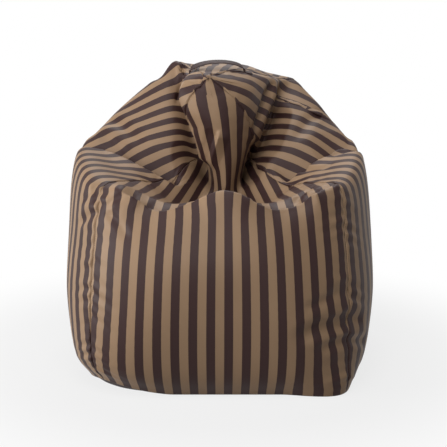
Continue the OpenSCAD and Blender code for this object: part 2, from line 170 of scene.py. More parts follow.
# A push moves the cover along a line on the cloth. With a side, it moves only what lies on that
# side of the line, which becomes an overhanging edge: (reach, sharpness, move, side, points).
PUSHES = (
    # wider top of the centre flap, left and right
    (0.10, 1.5, (-0.024, 0.0, 0.0), None, (
        (3.20, 1.35), (3.32, 1.33), (3.52, 1.32), (3.74, 1.30), (3.93, 1.28), (4.03, 1.23),
        (4.12, 1.21), (4.17, 1.18), (4.20, 1.14), (4.22, 1.10))),
    (0.10, 1.5, (0.022, 0.0, 0.0), None, (
        (1.93, 1.15), (1.66, 1.12), (1.53, 1.12), (1.38, 1.13), (1.29, 1.13), (1.11, 1.12))),
    # left edge of the centre flap
    (0.085, 1.2, (0.01, 0.09, 0.0), (-1, 0, 0), (
        (3.90, 1.27), (4.02, 1.23), (4.12, 1.21), (4.17, 1.18), (4.20, 1.14), (4.22, 1.10),
        (4.25, 1.06), (4.30, 1.03))),
    # right edge of the centre flap
    (0.075, 1.1, (-0.012, 0.12, -0.02), (1, 0, 0), (
        (1.66, 1.11), (1.53, 1.11), (1.38, 1.12), (1.29, 1.12), (1.11, 1.12), (0.98, 1.12),
        (0.88, 1.10), (0.80, 1.06), (0.72, 1.02))),
    # behind the left arm
    (0.11, 1.5, (0.0, 0.03, -0.05), (0, 1, 0.3), (
        (3.55, 0.66), (3.57, 0.72), (3.59, 0.75), (3.61, 0.78), (3.66, 0.81), (3.71, 0.83),
        (3.76, 0.85), (3.83, 0.88), (3.89, 0.91), (3.99, 0.95), (4.07, 0.95), (4.12, 0.94))),
    # behind the right arm
    (0.11, 1.5, (0.0, 0.03, -0.05), (0, 1, 0.3), (
        (1.42, 0.65), (1.41, 0.70), (1.40, 0.72), (1.41, 0.75), (1.40, 0.78), (1.35, 0.80),
        (1.29, 0.82), (1.25, 0.84), (1.20, 0.86), (1.15, 0.88), (1.11, 0.90), (1.02, 0.93))),
    # the seat falls away behind the lip, whose crest is crisp
    (0.07, 0.8, (0.0, 0.0, -0.026), (0, 1, 0), LIP),
    (0.012, 1.0, (0.0, 0.0, 0.003), None, LIP),
    # pleat in the centre flap
    (0.05, 1.2, (0.0, 0.018, 0.0), (-1, 0, 0), PLEAT),
    (0.035, 1.2, (0.0, -0.016, 0.0), None, PLEAT),
)
# Soft folds in the cover, along lines on the cloth: (reach, depth, points)
FOLDS = (
    # the puckers at the top of the front-left seam
    (0.020, 0.008, ((3.86, 0.50), (3.91, 0.53), (3.99, 0.56), (4.04, 0.57))),
    (0.016, 0.006, ((4.03, 0.57), (4.00, 0.60), (3.97, 0.63), (3.95, 0.67))),
    (0.016, 0.006, ((4.03, 0.56), (4.07, 0.555), (4.12, 0.53), (4.16, 0.49))),
    (0.014, 0.005, ((4.04, 0.58), (4.09, 0.60), (4.13, 0.62))),
    (0.016, 0.005, ((3.88, 0.58), (3.93, 0.61), (3.97, 0.66))),
    # the dent across the bottom right corner
    (0.030, 0.014, ((0.76, 0.19), (0.80, 0.22), (0.85, 0.235), (0.91, 0.235), (1.00, 0.235),
                    (1.12, 0.22))),
    (0.024, 0.010, ((0.84, 0.16), (0.91, 0.18), (1.00, 0.175), (1.10, 0.16), (1.18, 0.13))),
    (0.020, 0.006, ((0.78, 0.30), (0.86, 0.31), (0.95, 0.33), (1.05, 0.32))),
    # short folds on the right arm
    (0.016, 0.008, ((0.80, 0.64), (0.84, 0.68), (0.89, 0.71), (0.95, 0.73))),
    (0.014, 0.007, ((0.86, 0.62), (0.90, 0.65), (0.96, 0.67), (1.02, 0.68))),
    (0.016, 0.007, ((1.16, 0.90), (1.16, 0.85), (1.19, 0.80), (1.25, 0.77))),
    (0.018, 0.008, ((1.28, 0.82), (1.33, 0.80), (1.38, 0.76), (1.42, 0.71))),
    # the pleat between the left lobe and the crown
    (0.012, 0.010, ((2.96, 1.13), (3.10, 1.115), (3.22, 1.10), (3.33, 1.075), (3.42, 1.05))),
    # down the inner edge of the left lobe
    (0.012, 0.010, ((3.04, 1.10), (3.10, 1.12), (3.18, 1.14), (3.30, 1.17), (3.42, 1.20))),
    # the bottom of the crease right of the centre flap
    (0.024, 0.016, ((1.86, 1.13), (1.70, 1.15), (1.50, 1.17), (1.27, 1.18), (1.07, 1.17))),
    # long shallow folds on the lobes
    (0.030, 0.008, ((3.33, 0.80), (3.42, 0.85), (3.55, 0.88), (3.66, 0.93))),
    (0.022, 0.005, ((3.45, 0.78), (3.55, 0.82), (3.66, 0.86))),
    (0.026, 0.006, ((1.72, 0.86), (1.60, 0.90), (1.45, 0.92), (1.32, 0.93))),
)


# Rounds of settling on the form and how firmly it holds the cloth, from coarse grid to fine
SETTLING = ((300, 0.5), (200, 0.4), (120, 0.3))
COARSE_ACROSS, COARSE_ALONG = 12, 27  # cells of the first grid, across a panel and along it
FINISHING_ROUNDS, FINISHING_HOLD = 30, 0.9

# Lamps: (name, place, watts, size, looked-at point, spread in degrees)
LAMPS = (
    ("key", (-3.1, -1.0, 0.95), 96, 2.0, (0, 0, 0.5), 180),
    ("top", (-0.3, -1.6, 3.6), 68, 2.0, (0, 0, 0.5), 180),
    ("back", (0.0, 1.6, 3.4), 55, 2.0, (0, 0, 0.5), 180),
    ("face", (-0.6, -2.6, 1.2), 3.0, 1.5, (-0.05, -0.4, 0.62), 46),
)
WHITE = (1, 1, 1, 1)
ACROSS, UP = Vector((1, 0, 0)), Vector((0, 0, 1))


# ---------------------------------------------------------------- settings

class CoverSizes(bpy.types.PropertyGroup):
    """Sizes of the cut cover."""

    half_width: FloatProperty(
        name="Half width", description="From a panel's centre line to its seam at its widest",
        default=0.40, min=0.3, max=0.5, unit="LENGTH")
    hem_half_width: FloatProperty(
        name="Half width at hem", description="From a panel's centre line to its seam at the foot",
        default=0.365, min=0.3, max=0.5, unit="LENGTH")
    length: FloatProperty(
        name="Panel length", description="From the hem to the point of a panel",
        default=1.42, min=1.2, max=1.6, unit="LENGTH")
    wide_from: FloatProperty(
        name="Widest from", description="Length from the hem where a panel reaches full width",
        default=0.30, min=0.1, max=0.5, unit="LENGTH")
    taper_from: FloatProperty(
        name="Taper from", description="Length from the hem where a panel starts to taper",
        default=0.62, min=0.5, max=0.8, unit="LENGTH")
    point: FloatProperty(
        name="Point", description="How straight the taper runs: 1 is straight",
        default=1.25, min=1.0, max=2.0)
    stripe: FloatProperty(
        name="Stripe", description="Width of one stripe",
        default=0.025, min=0.01, max=0.05, unit="LENGTH")
    cloth: FloatProperty(
        name="Cloth thickness", description="Thickness of the coated cloth",
        default=0.0012, min=0.0005, max=0.003, unit="LENGTH")
    rim: FloatProperty(
        name="Rim height", description="Height of the lip and arms",
        default=0.60, min=0.5, max=0.7, unit="LENGTH")
    crown: FloatProperty(
        name="Crown height", description="Height of the crown that the ring heights count up to",
        default=0.935, min=0.8, max=1.1, unit="LENGTH")
    base_cloth: FloatProperty(
        name="Base thickness", description="Thickness of the base cloth",
        default=0.0016, min=0.001, max=0.003, unit="LENGTH")
    lining: FloatProperty(
        name="Lining depth", description="From the cover's face to the liner",
        default=0.004, min=0.002, max=0.01, unit="LENGTH")
    seam_ditch: FloatProperty(
        name="Seam ditch", description="How deep a seam is pulled in",
        default=0.003, min=0.0, max=0.008, unit="LENGTH")


class SewingSizes(bpy.types.PropertyGroup):
    """Sizes of the stitching."""

    pitch: FloatProperty(
        name="Pitch", description="From one stitch to the next",
        default=0.005, min=0.003, max=0.01, unit="LENGTH")
    length: FloatProperty(
        name="Stitch length", description="Length of one stitch that shows",
        default=0.0034, min=0.002, max=0.008, unit="LENGTH")
    thread: FloatProperty(
        name="Thread", description="Thickness of the thread",
        default=0.0008, min=0.0003, max=0.002, unit="LENGTH")
    from_seam: FloatProperty(
        name="From the seam", description="Distance of a row of stitches from its seam",
        default=0.0045, min=0.002, max=0.01, unit="LENGTH")


class StrapSizes(bpy.types.PropertyGroup):
    """Sizes of the carry handle's strap."""

    width: FloatProperty(
        name="Width", description="Width of the strap", default=0.024, min=0.01, max=0.04,
        unit="LENGTH")
    thickness: FloatProperty(
        name="Thickness", description="Thickness of the strap", default=0.003, min=0.002, max=0.005,
        unit="LENGTH")
    rise: FloatProperty(
        name="Rise", description="Height of the arch over its pivots", default=0.029, min=0.02,
        max=0.05, unit="LENGTH")
    pivot_width: FloatProperty(
        name="Width at the pivots", description="Width of the strap where it is sewn to a pivot",
        default=0.008, min=0.004, max=0.02, unit="LENGTH")
    taper: FloatProperty(
        name="Taper height", description="Height over which the strap reaches its full width",
        default=0.014, min=0.004, max=0.02, unit="LENGTH")


class CoverColours(bpy.types.PropertyGroup):
    """Colours of the chair's cloths and threads."""

    tan: FloatVectorProperty(
        name="Tan stripe", description="Colour of the light stripes",
        default=(0.235, 0.151, 0.090), min=0, max=1, subtype="COLOR")
    dark: FloatVectorProperty(
        name="Dark stripe", description="Colour of the dark stripes",
        default=(0.028, 0.0118, 0.0108), min=0, max=1, subtype="COLOR")
    plain: FloatVectorProperty(
        name="Plain leather", description="Colour of the handle and the base",
        default=(0.028, 0.0145, 0.0140), min=0, max=1, subtype="COLOR")
    thread: FloatVectorProperty(
        name="Thread", description="Colour of the thread",
        default=(0.105, 0.066, 0.040), min=0, max=1, subtype="COLOR")
    tape: FloatVectorProperty(
        name="Zip tape", description="Colour of the cover's zip tapes",
        default=(0.022, 0.016, 0.015), min=0, max=1, subtype="COLOR")
    metal: FloatVectorProperty(
        name="Metal", description="Colour of the slider and pull",
        default=(0.36, 0.30, 0.24), min=0, max=1, subtype="COLOR")
    liner: FloatVectorProperty(
        name="Liner", description="Colour of the liner cloth",
        default=(0.70, 0.68, 0.62), min=0, max=1, subtype="COLOR")
    beads: FloatVectorProperty(
        name="Beads", description="Colour of the beads",
        default=(0.85, 0.85, 0.82), min=0, max=1, subtype="COLOR")


class StageSettings(bpy.types.PropertyGroup):
    """Where the camera stands and its lens."""

    target: FloatVectorProperty(
        name="Looked-at point", description="Point that the camera faces",
        default=(0.011, 0.0, 0.43), subtype="XYZ", unit="LENGTH")
    elevation: FloatProperty(
        name="Elevation", description="Camera height as an angle above the horizon",
        default=math.radians(12), subtype="ANGLE", unit="ROTATION")
    distance: FloatProperty(
        name="Distance", description="From the camera to the looked-at point",
        default=3.6, min=1, unit="LENGTH")
    lens: FloatProperty(
        name="Lens", description="Focal length in millimetres",
        default=91.3, min=20, max=200)


def sizes():
    return bpy.context.scene.bean_bag_sizes


def sewing():
    return bpy.context.scene.bean_bag_sewing


def strap_sizes():
    return bpy.context.scene.bean_bag_strap


def colours():
    return bpy.context.scene.bean_bag_colours


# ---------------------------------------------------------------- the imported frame

def joint(name):
    return next(entry for entry in frame["joints"] if entry["name"] == name)


def corners_of(node):
    """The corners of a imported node's mesh."""
    return [vert.co for vert in frame["nodes"][node].data.vertices]


def span(corners, way):
    """The lowest and the highest place of some corners along a direction."""
    places = [co.dot(way) for co in corners]
    return min(places), max(places)


# ---------------------------------------------------------------- materials

class Value:
    """A shader socket; arithmetic on it adds Math nodes."""

    def __init__(self, finish, socket):
        self.finish = finish
        self.socket = socket

    def maths(self, operation, *others):
        inputs = dict(enumerate((self, *others)))
        return self.finish.node("ShaderNodeMath", {"operation": operation}, inputs)

    def __add__(self, other):
        return self.maths("ADD", other)

    def __sub__(self, other):
        return self.maths("SUBTRACT", other)

    def __rsub__(self, other):
        return self.finish.node("ShaderNodeMath", {"operation": "SUBTRACT"}, {0: other, 1: self})

    def __mul__(self, other):
        return self.maths("MULTIPLY", other)

    def __truediv__(self, other):
        return self.maths("DIVIDE", other)

    def clamped(self):
        return self.finish.node(
            "ShaderNodeMath", {"operation": "ADD", "use_clamp": True}, {0: self, 1: 0.0})


class Nodes:
    """A node tree under construction."""

    def __init__(self, tree):
        self.tree = tree

    def node(self, kind, settings=None, inputs=None, output=0):
        """Adds a node, sets it up, links or fills its inputs and returns one output."""
        made = self.tree.nodes.new(kind)
        for name, value in (settings or {}).items():
            setattr(made, name, value)
        for key, value in (inputs or {}).items():
            self.feed(made.inputs[key], value)
        return Value(self, made.outputs[output])

    def feed(self, socket, value):
        if isinstance(value, Value):
            self.tree.links.new(value.socket, socket)
        else:
            socket.default_value = value

    def seen(self):
        """1 for what the camera sees, straight or in a reflection."""
        path = self.tree.nodes.new("ShaderNodeLightPath")
        straight, mirrored = (Value(self, path.outputs[ray])
                              for ray in ("Is Camera Ray", "Is Glossy Ray"))
        return straight.maths("MAXIMUM", mirrored)


class Finish(Nodes):
    """A material under construction."""

    def __init__(self, name, **shader):
        self.material = bpy.data.materials.new(name)
        self.material.use_nodes = True
        super().__init__(self.material.node_tree)
        self.shader = self.tree.nodes["Principled BSDF"]
        for socket, value in shader.items():
            self.shader.inputs[socket.replace("_", " ")].default_value = value

    def set(self, socket, value):
        self.feed(self.shader.inputs[socket], value)

    def place(self):
        """Object coordinates."""
        return self.node("ShaderNodeTexCoord", output="Object")

    def cut(self):
        """The piece's own UV map, in metres on the flat cloth."""
        return self.node("ShaderNodeUVMap", {"uv_map": "cut"})

    def noise(self, vector, scale, detail=2.0, rough=0.5):
        return self.node("ShaderNodeTexNoise", None, {
            "Vector": vector, "Scale": scale, "Detail": detail, "Roughness": rough})

    def mix(self, factor, first, second):
        """A colour between two colours."""
        return self.node("ShaderNodeMix", {"data_type": "RGBA"}, {
            "Factor": factor, 6: rgba(first), 7: rgba(second)}, output=2)

    def shaded(self, tone, value):
        """A colour made lighter or darker by a value round 1."""
        return self.node("ShaderNodeHueSaturation", None, {"Value": value, "Color": rgba(tone)})

    def bump(self, *layers):
        """Stacks (height, strength, distance) layers into the shader's normal."""
        normal = None
        for height, strength, distance in layers:
            inputs = {"Height": height, "Strength": strength, "Distance": distance}
            if normal is not None:
                inputs["Normal"] = normal
            normal = self.node("ShaderNodeBump", None, inputs)
        self.set("Normal", normal)


def rgba(colour):
    return colour if isinstance(colour, Value) else (*colour, 1.0)


@functools.cache
def striped_leather():
    """Coated leather cloth with even stripes along each panel."""
    made = Finish("striped leather", Roughness=0.45, Specular_IOR_Level=0.2)
    cut = made.cut()
    across = made.node("ShaderNodeSeparateXYZ", None, {0: cut})
    stripe = sizes().stripe
    blur = 0.0004
    wave = across.maths("PINGPONG", stripe)
    dark = ((wave - stripe / 2) / blur + 0.5).clamped()
    grain = made.noise(made.place(), 900.0, 3.0, 0.6)
    cloud = made.noise(made.place(), 6.0, 3.0, 0.5)
    tone = made.mix(dark, colours().tan, colours().dark)
    made.set("Base Color", made.shaded(tone, cloud * 0.16 + 0.92))
    made.set("Roughness", grain * 0.10 + 0.46 + dark * 0.03)
    made.bump((grain, 0.25, 0.0002), (cloud, 0.2, 0.002))
    return made.material


@functools.cache
def plain_leather():
    """Plain coated leather cloth."""
    made = Finish("plain leather", Roughness=0.55, Specular_IOR_Level=0.2)
    grain = made.noise(made.place(), 900.0, 3.0, 0.6)
    cloud = made.noise(made.place(), 14.0, 3.0, 0.5)
    made.set("Base Color", made.shaded(colours().plain, cloud * 0.3 + 0.85))
    made.set("Roughness", grain * 0.12 + 0.52)
    made.bump((grain, 0.3, 0.0002), (cloud, 0.2, 0.001))
    return made.material


@functools.cache
def woven(name, tone, pitch, roughness):
    """Woven cloth: raised threads both ways, each under and over the next, painted lighter where raised
    and darker where they dip under, as painted shade.
    """
    made = Finish(name, Roughness=roughness, Specular_IOR_Level=0.3)
    place = made.place()
    turned = made.node("ShaderNodeMapping", None, {0: place, "Rotation": (0.0, 0.0, math.pi / 4)})
    turn = 2 * math.pi / pitch
    across, along, up = (made.node("ShaderNodeSeparateXYZ", None, {0: turned}, output=k)
                         for k in range(3))
    warp = (across * turn).maths("SINE")
    weft = ((along + up) * turn).maths("SINE")
    raised = warp * weft * 0.5 + 0.5
    fray = made.noise(place, 600.0, 3.0, 0.6)
    # Raised threads are painted lighter and the dips between them darker: painted shade in the weave.
    # The fray is tone that differs at random.
    made.set("Base Color", made.shaded(tone, raised * 0.3 + fray * 0.25 + 0.7))
    made.set("Roughness", fray * 0.1 + (roughness - 0.05))
    made.bump((raised, 0.5, 0.25 * pitch), (fray, 0.2, 0.0002))
    return made.material


@functools.cache
def sewing_thread():
    """Twisted thread, painted darker in the grooves of its twist as painted shade."""
    made = Finish("sewing thread", Roughness=0.6, Specular_IOR_Level=0.3)
    twist = made.node("ShaderNodeTexWave", {"wave_type": "BANDS", "bands_direction": "DIAGONAL"}, {
        "Vector": made.place(), "Scale": 700.0, "Distortion": 1.0}, output=1)
    fluff = made.noise(made.place(), 1500.0, 2.0, 0.6)
    # The twist bands darken the grooves and lighten the ridges: painted shade. The fluff is tone that
    # differs at random.
    made.set("Base Color", made.shaded(colours().thread, twist * 0.3 + fluff * 0.3 + 0.7))
    made.set("Roughness", fluff * 0.2 + 0.5)
    made.bump((twist, 0.6, 0.0002))
    return made.material


@functools.cache
def moulded(name, tone, gloss):
    """Moulded nylon, with faint flow marks and a scuffed sheen."""
    made = Finish(name, Roughness=gloss, Specular_IOR_Level=0.5)
    marks = made.noise(made.place(), 240.0, 4.0, 0.6)
    made.set("Base Color", made.shaded(tone, marks * 0.3 + 0.85))
    made.set("Roughness", marks * 0.25 + (gloss - 0.1))
    made.bump((marks, 0.15, 0.0002))
    return made.material


@functools.cache
def antique_metal():
    """Cast zinc with an antique finish, rubbed brighter in patches."""
    made = Finish("antique metal", Metallic=1.0, Roughness=0.4)
    rub = made.noise(made.place(), 90.0, 4.0, 0.6)
    cast = made.noise(made.place(), 1200.0, 2.0, 0.5)
    rubbed = ((rub - 0.42) * 4.0).clamped()
    dull = tuple(0.45 * c for c in colours().metal)
    made.set("Base Color", made.mix(rubbed, dull, colours().metal))
    made.set("Roughness", 0.55 - rubbed * 0.22)
    made.bump((cast, 0.15, 0.0001), (rub, 0.1, 0.0003))
    return made.material


@functools.cache
def bead_foam():
    """Packed polystyrene beads, with painted shade darkening each bead towards its edge, in the gaps
    between the beads.
    """
    made = Finish("packed beads", Roughness=0.7, Subsurface_Weight=0.1)
    cells = made.node("ShaderNodeTexVoronoi", None, {"Vector": made.place(), "Scale": 260.0})
    # The colour darkens away from each bead's middle: painted shade in the gaps between the beads.
    made.set("Base Color", made.shaded(colours().beads, 1.05 - cells * 0.35))
    made.set("Roughness", cells * 0.2 + 0.6)
    made.bump((1.0 - cells, 0.8, 0.002))
    return made.material


# ---------------------------------------------------------------- the stuffed form

def spline(points, t, closed):
    """Catmull-Rom through the first axis of points, read at the places t."""
    count = len(points)
    start = np.floor(t).astype(int)
    if closed:
        knots = [points[(start + k) % count] for k in (-1, 0, 1, 2)]
    else:
        start = np.clip(start, 0, count - 2)
        ends = np.concatenate([[2 * points[0] - points[1]], points, [2 * points[-1] - points[-2]]])
        knots = [ends[start + k] for k in (0, 1, 2, 3)]
    a, b, c, d = knots
    f = (t - start).reshape((-1,) + (1,) * (points.ndim - 1))
    return 0.5 * (2 * b + (c - a) * f + (2 * a - 5 * b + 4 * c - d) * f**2
                  + (3 * b - a - 3 * c + d) * f**3)


def rounded_ring(half_x, half_y, radius, z, columns):
    """A rounded rectangle, `columns` points a side from corner middle to corner middle."""
    ring = []
    for side in range(4):
        along, out = (half_x, half_y) if side % 2 == 0 else (half_y, half_x)
        quarter, straight = radius * math.pi / 4, 2 * (along - radius)
        for step in range(columns):
            s = step / columns * (2 * quarter + straight)
            if s < quarter:
                turn = math.pi / 4 - s / radius
                x, y = radius - along - radius * math.sin(turn), out - radius + radius * math.cos(turn)
            elif s <= quarter + straight:
                x, y = radius - along + s - quarter, out
            else:
                turn = (s - quarter - straight) / radius
                x, y = along - radius + radius * math.sin(turn), out - radius + radius * math.cos(turn)
            ring.append([(x, -y, z), (y, x, z), (-x, y, z), (-y, -x, z)][side])
    return np.array(ring)


def nearest_on_line(points, line, reach):
    """For each point: the nearest point of a line, how far it is, and where it is, 0 to 1.

    Only the points within `reach` of the line are looked at; the others stay far from it."""
    steps = np.diff(line, axis=0)
    lengths = np.maximum(np.linalg.norm(steps, axis=1), 1e-9)
    starts = np.concatenate([[0], np.cumsum(lengths)])
    inside = ((points > line.min(0) - reach) & (points < line.max(0) + reach)).all(-1)
    looked_at = points[inside]
    best = np.full(len(looked_at), np.inf)
    along = np.zeros(len(looked_at))
    near = np.zeros(looked_at.shape)
    for start, step, length, before in zip(line, steps, lengths, starts):
        t = np.clip((looked_at - start) @ step / length**2, 0, 1)
        place = start + t[..., None] * step
        gap = np.linalg.norm(looked_at - place, axis=-1)
        nearer = gap < best
        along = np.where(nearer, (before + t * length) / starts[-1], along)
        near = np.where(nearer[..., None], place, near)
        best = np.minimum(best, gap)
    found = (np.zeros(points.shape), np.full(points.shape[:-1], np.inf), np.zeros(points.shape[:-1]))
    for whole, part in zip(found, (near, best, along)):
        whole[inside] = part
    return found


def smooth_line(points, count=60):
    """A curve through a few points, as many points."""
    points = np.array(points, float)
    return spline(points, np.linspace(0, len(points) - 1, count), False)


def line_on(x, points):
    """A smooth line on the cover through places given as (panels round, length from the hem)."""
    line = smooth_line(points)
    rows, columns = x.shape[:2]
    across = line[:, 0] * columns / 4
    up = np.clip(line[:, 1] / sizes().length * (rows - 1), 0, rows - 1.01)
    i, j = np.floor(across).astype(int), np.floor(up).astype(int)
    f, g = (across - i)[:, None], (up - j)[:, None]
    i, k = i % columns, (i + 1) % columns
    return (x[j, i] * (1 - f) + x[j, k] * f) * (1 - g) + (x[j + 1, i] * (1 - f) + x[j + 1, k] * f) * g


def eased(t):
    """0 below 0, 1 above 1, and a smooth step between."""
    t = np.clip(t, 0, 1)
    return t * t * (3 - 2 * t)


def grid_normals(x):
    """Outward normals of a closed grid of points, rows upward and columns to the right."""
    out = np.cross(np.roll(x, -1, 1) - np.roll(x, 1, 1), np.gradient(x, axis=0))
    return out / np.maximum(np.linalg.norm(out, axis=-1, keepdims=True), 1e-12)


def draw_to(x, reach, sharpness, points):
    """Moves the grid so that it passes through a line, with less movement further off."""
    goal = smooth_line(points)
    flat = x.reshape(-1, 3)
    seat = np.array([flat[np.argmin(((flat - p) ** 2).sum(-1))] for p in goal])
    move = goal - seat
    _, gap, along = nearest_on_line(x, seat, reach)
    weight = np.clip(1 - gap / reach, 0, 1) ** sharpness
    places = along * (len(goal) - 1)
    low = np.minimum(places.astype(int), len(goal) - 2)
    part = (places - low)[..., None]
    return x + weight[..., None] * (move[low] * (1 - part) + move[low + 1] * part)


def grab(x, reach, place, move):
    """Moves what is near a place."""
    gap = np.linalg.norm(x - np.array(place), axis=-1)
    return x + eased(1 - gap / reach)[..., None] * np.array(move)


def fold(x, reach, depth, points):
    """The grid with a soft fold: a valley along a line with a low ridge on either side of it."""
    _, gap, along = nearest_on_line(x, line_on(x, points), 3 * reach)
    far, ridge, fade = 9, 0.9, 0.25
    beside = np.minimum(gap / reach, far)
    shape = (1 - ridge * beside**2) * np.exp(-(beside**2))
    ends = eased(along / fade) * eased((1 - along) / fade)
    return x - (depth * shape * ends)[..., None] * grid_normals(x)


def push(x, reach, sharpness, move, side, points):
    """Moves the grid along a line, or what lies to one side of it, fading out at its ends."""
    fade, ramp = 0.1, 0.012
    near, gap, along = nearest_on_line(x, line_on(x, points), reach)
    weight = np.clip(1 - gap / reach, 0, 1) ** sharpness * eased(np.minimum(along, 1 - along) / fade)
    if side is not None:
        side = np.array(side, float)
        past = (x - near) @ (side / np.linalg.norm(side))
        weight = weight * eased(past / ramp)
    return x + weight[..., None] * np.array(move)


class Form:
    """The smooth stuffed shape through the rings, read by column (around) and row (up)."""

    COLUMNS = 48  # to a panel
    FINE = 12     # cells between two rings

    def __init__(self):
        low, high = CAD_BOX
        half = Vector(((high.x - low.x) / 2, (high.y - low.y) / 2, 0))
        rim, top = sizes().rim, sizes().crown
        round_columns = 4 * self.COLUMNS

        def place(points):
            p = np.array(points, float)
            z = np.where(p[..., 2] <= 100, p[..., 2] / 100 * rim,
                         rim + (p[..., 2] - 100) / 100 * (top - rim))
            return np.stack([p[..., 0] / 100 * half.x, p[..., 1] / 100 * half.y, z], -1)

        rings = [rounded_ring(x * half.x, y * half.y, r * half.x, z * rim, self.COLUMNS)
                 for x, y, r, z in LOW_RINGS]
        steps = np.arange(round_columns) / self.COLUMNS * 4
        rings += [spline(place(ring), steps, True) for ring in HIGH_RINGS]
        rings.append(np.repeat(place([CROWN]), round_columns, 0))
        rings = np.array(rings)
        self.rows = len(rings)
        self.columns = round_columns
        up = spline(rings, np.linspace(0, self.rows - 1, (self.rows - 1) * self.FINE + 1), False)
        for line in DRAWN:
            up = draw_to(up, *line)
        self.points = up
        self.across = (np.roll(up, -1, 1) - np.roll(up, 1, 1)) / 2
        self.upward = np.gradient(up, axis=0) * self.FINE

    def read(self, field, a, b):
        x, y = a % self.columns, np.clip(b * self.FINE, 0, (self.rows - 1) * self.FINE - 1e-6)
        i, j = np.floor(x).astype(int), np.floor(y).astype(int)
        fx, fy = (x - i)[..., None], (y - j)[..., None]
        i, k = i % self.columns, (i + 1) % self.columns
        return ((field[j, i] * (1 - fx) + field[j, k] * fx) * (1 - fy)
                + (field[j + 1, i] * (1 - fx) + field[j + 1, k] * fx) * fy)

    def at(self, a, b):
        return self.read(self.points, a, b)

    def tangents(self, a, b):
        return self.read(self.across, a, b), self.read(self.upward, a, b)


def half_width_at(v):
    """Half the cut panel's width at the length v from its hem."""
    s = sizes()
    foot = s.hem_half_width + (s.half_width - s.hem_half_width) * np.clip(v / s.wide_from, 0, 1)
    t = np.clip((s.length - v) / (s.length - s.taper_from), 0, 1)
    return np.where(v < s.taper_from, foot, s.half_width * (1 - (1 - t) ** s.point))


def pull(first, second, length, stretch, shrink):
    """Moves two grids of points towards their cut distance from each other."""
    gap = second - first
    now = np.sqrt((gap * gap).sum(-1))
    share = (now - length) / np.maximum(now, 1e-9)
    gap *= (share * np.where(share > 0, stretch, shrink))[..., None]
    first += 0.5 * gap
    second -= 0.5 * gap


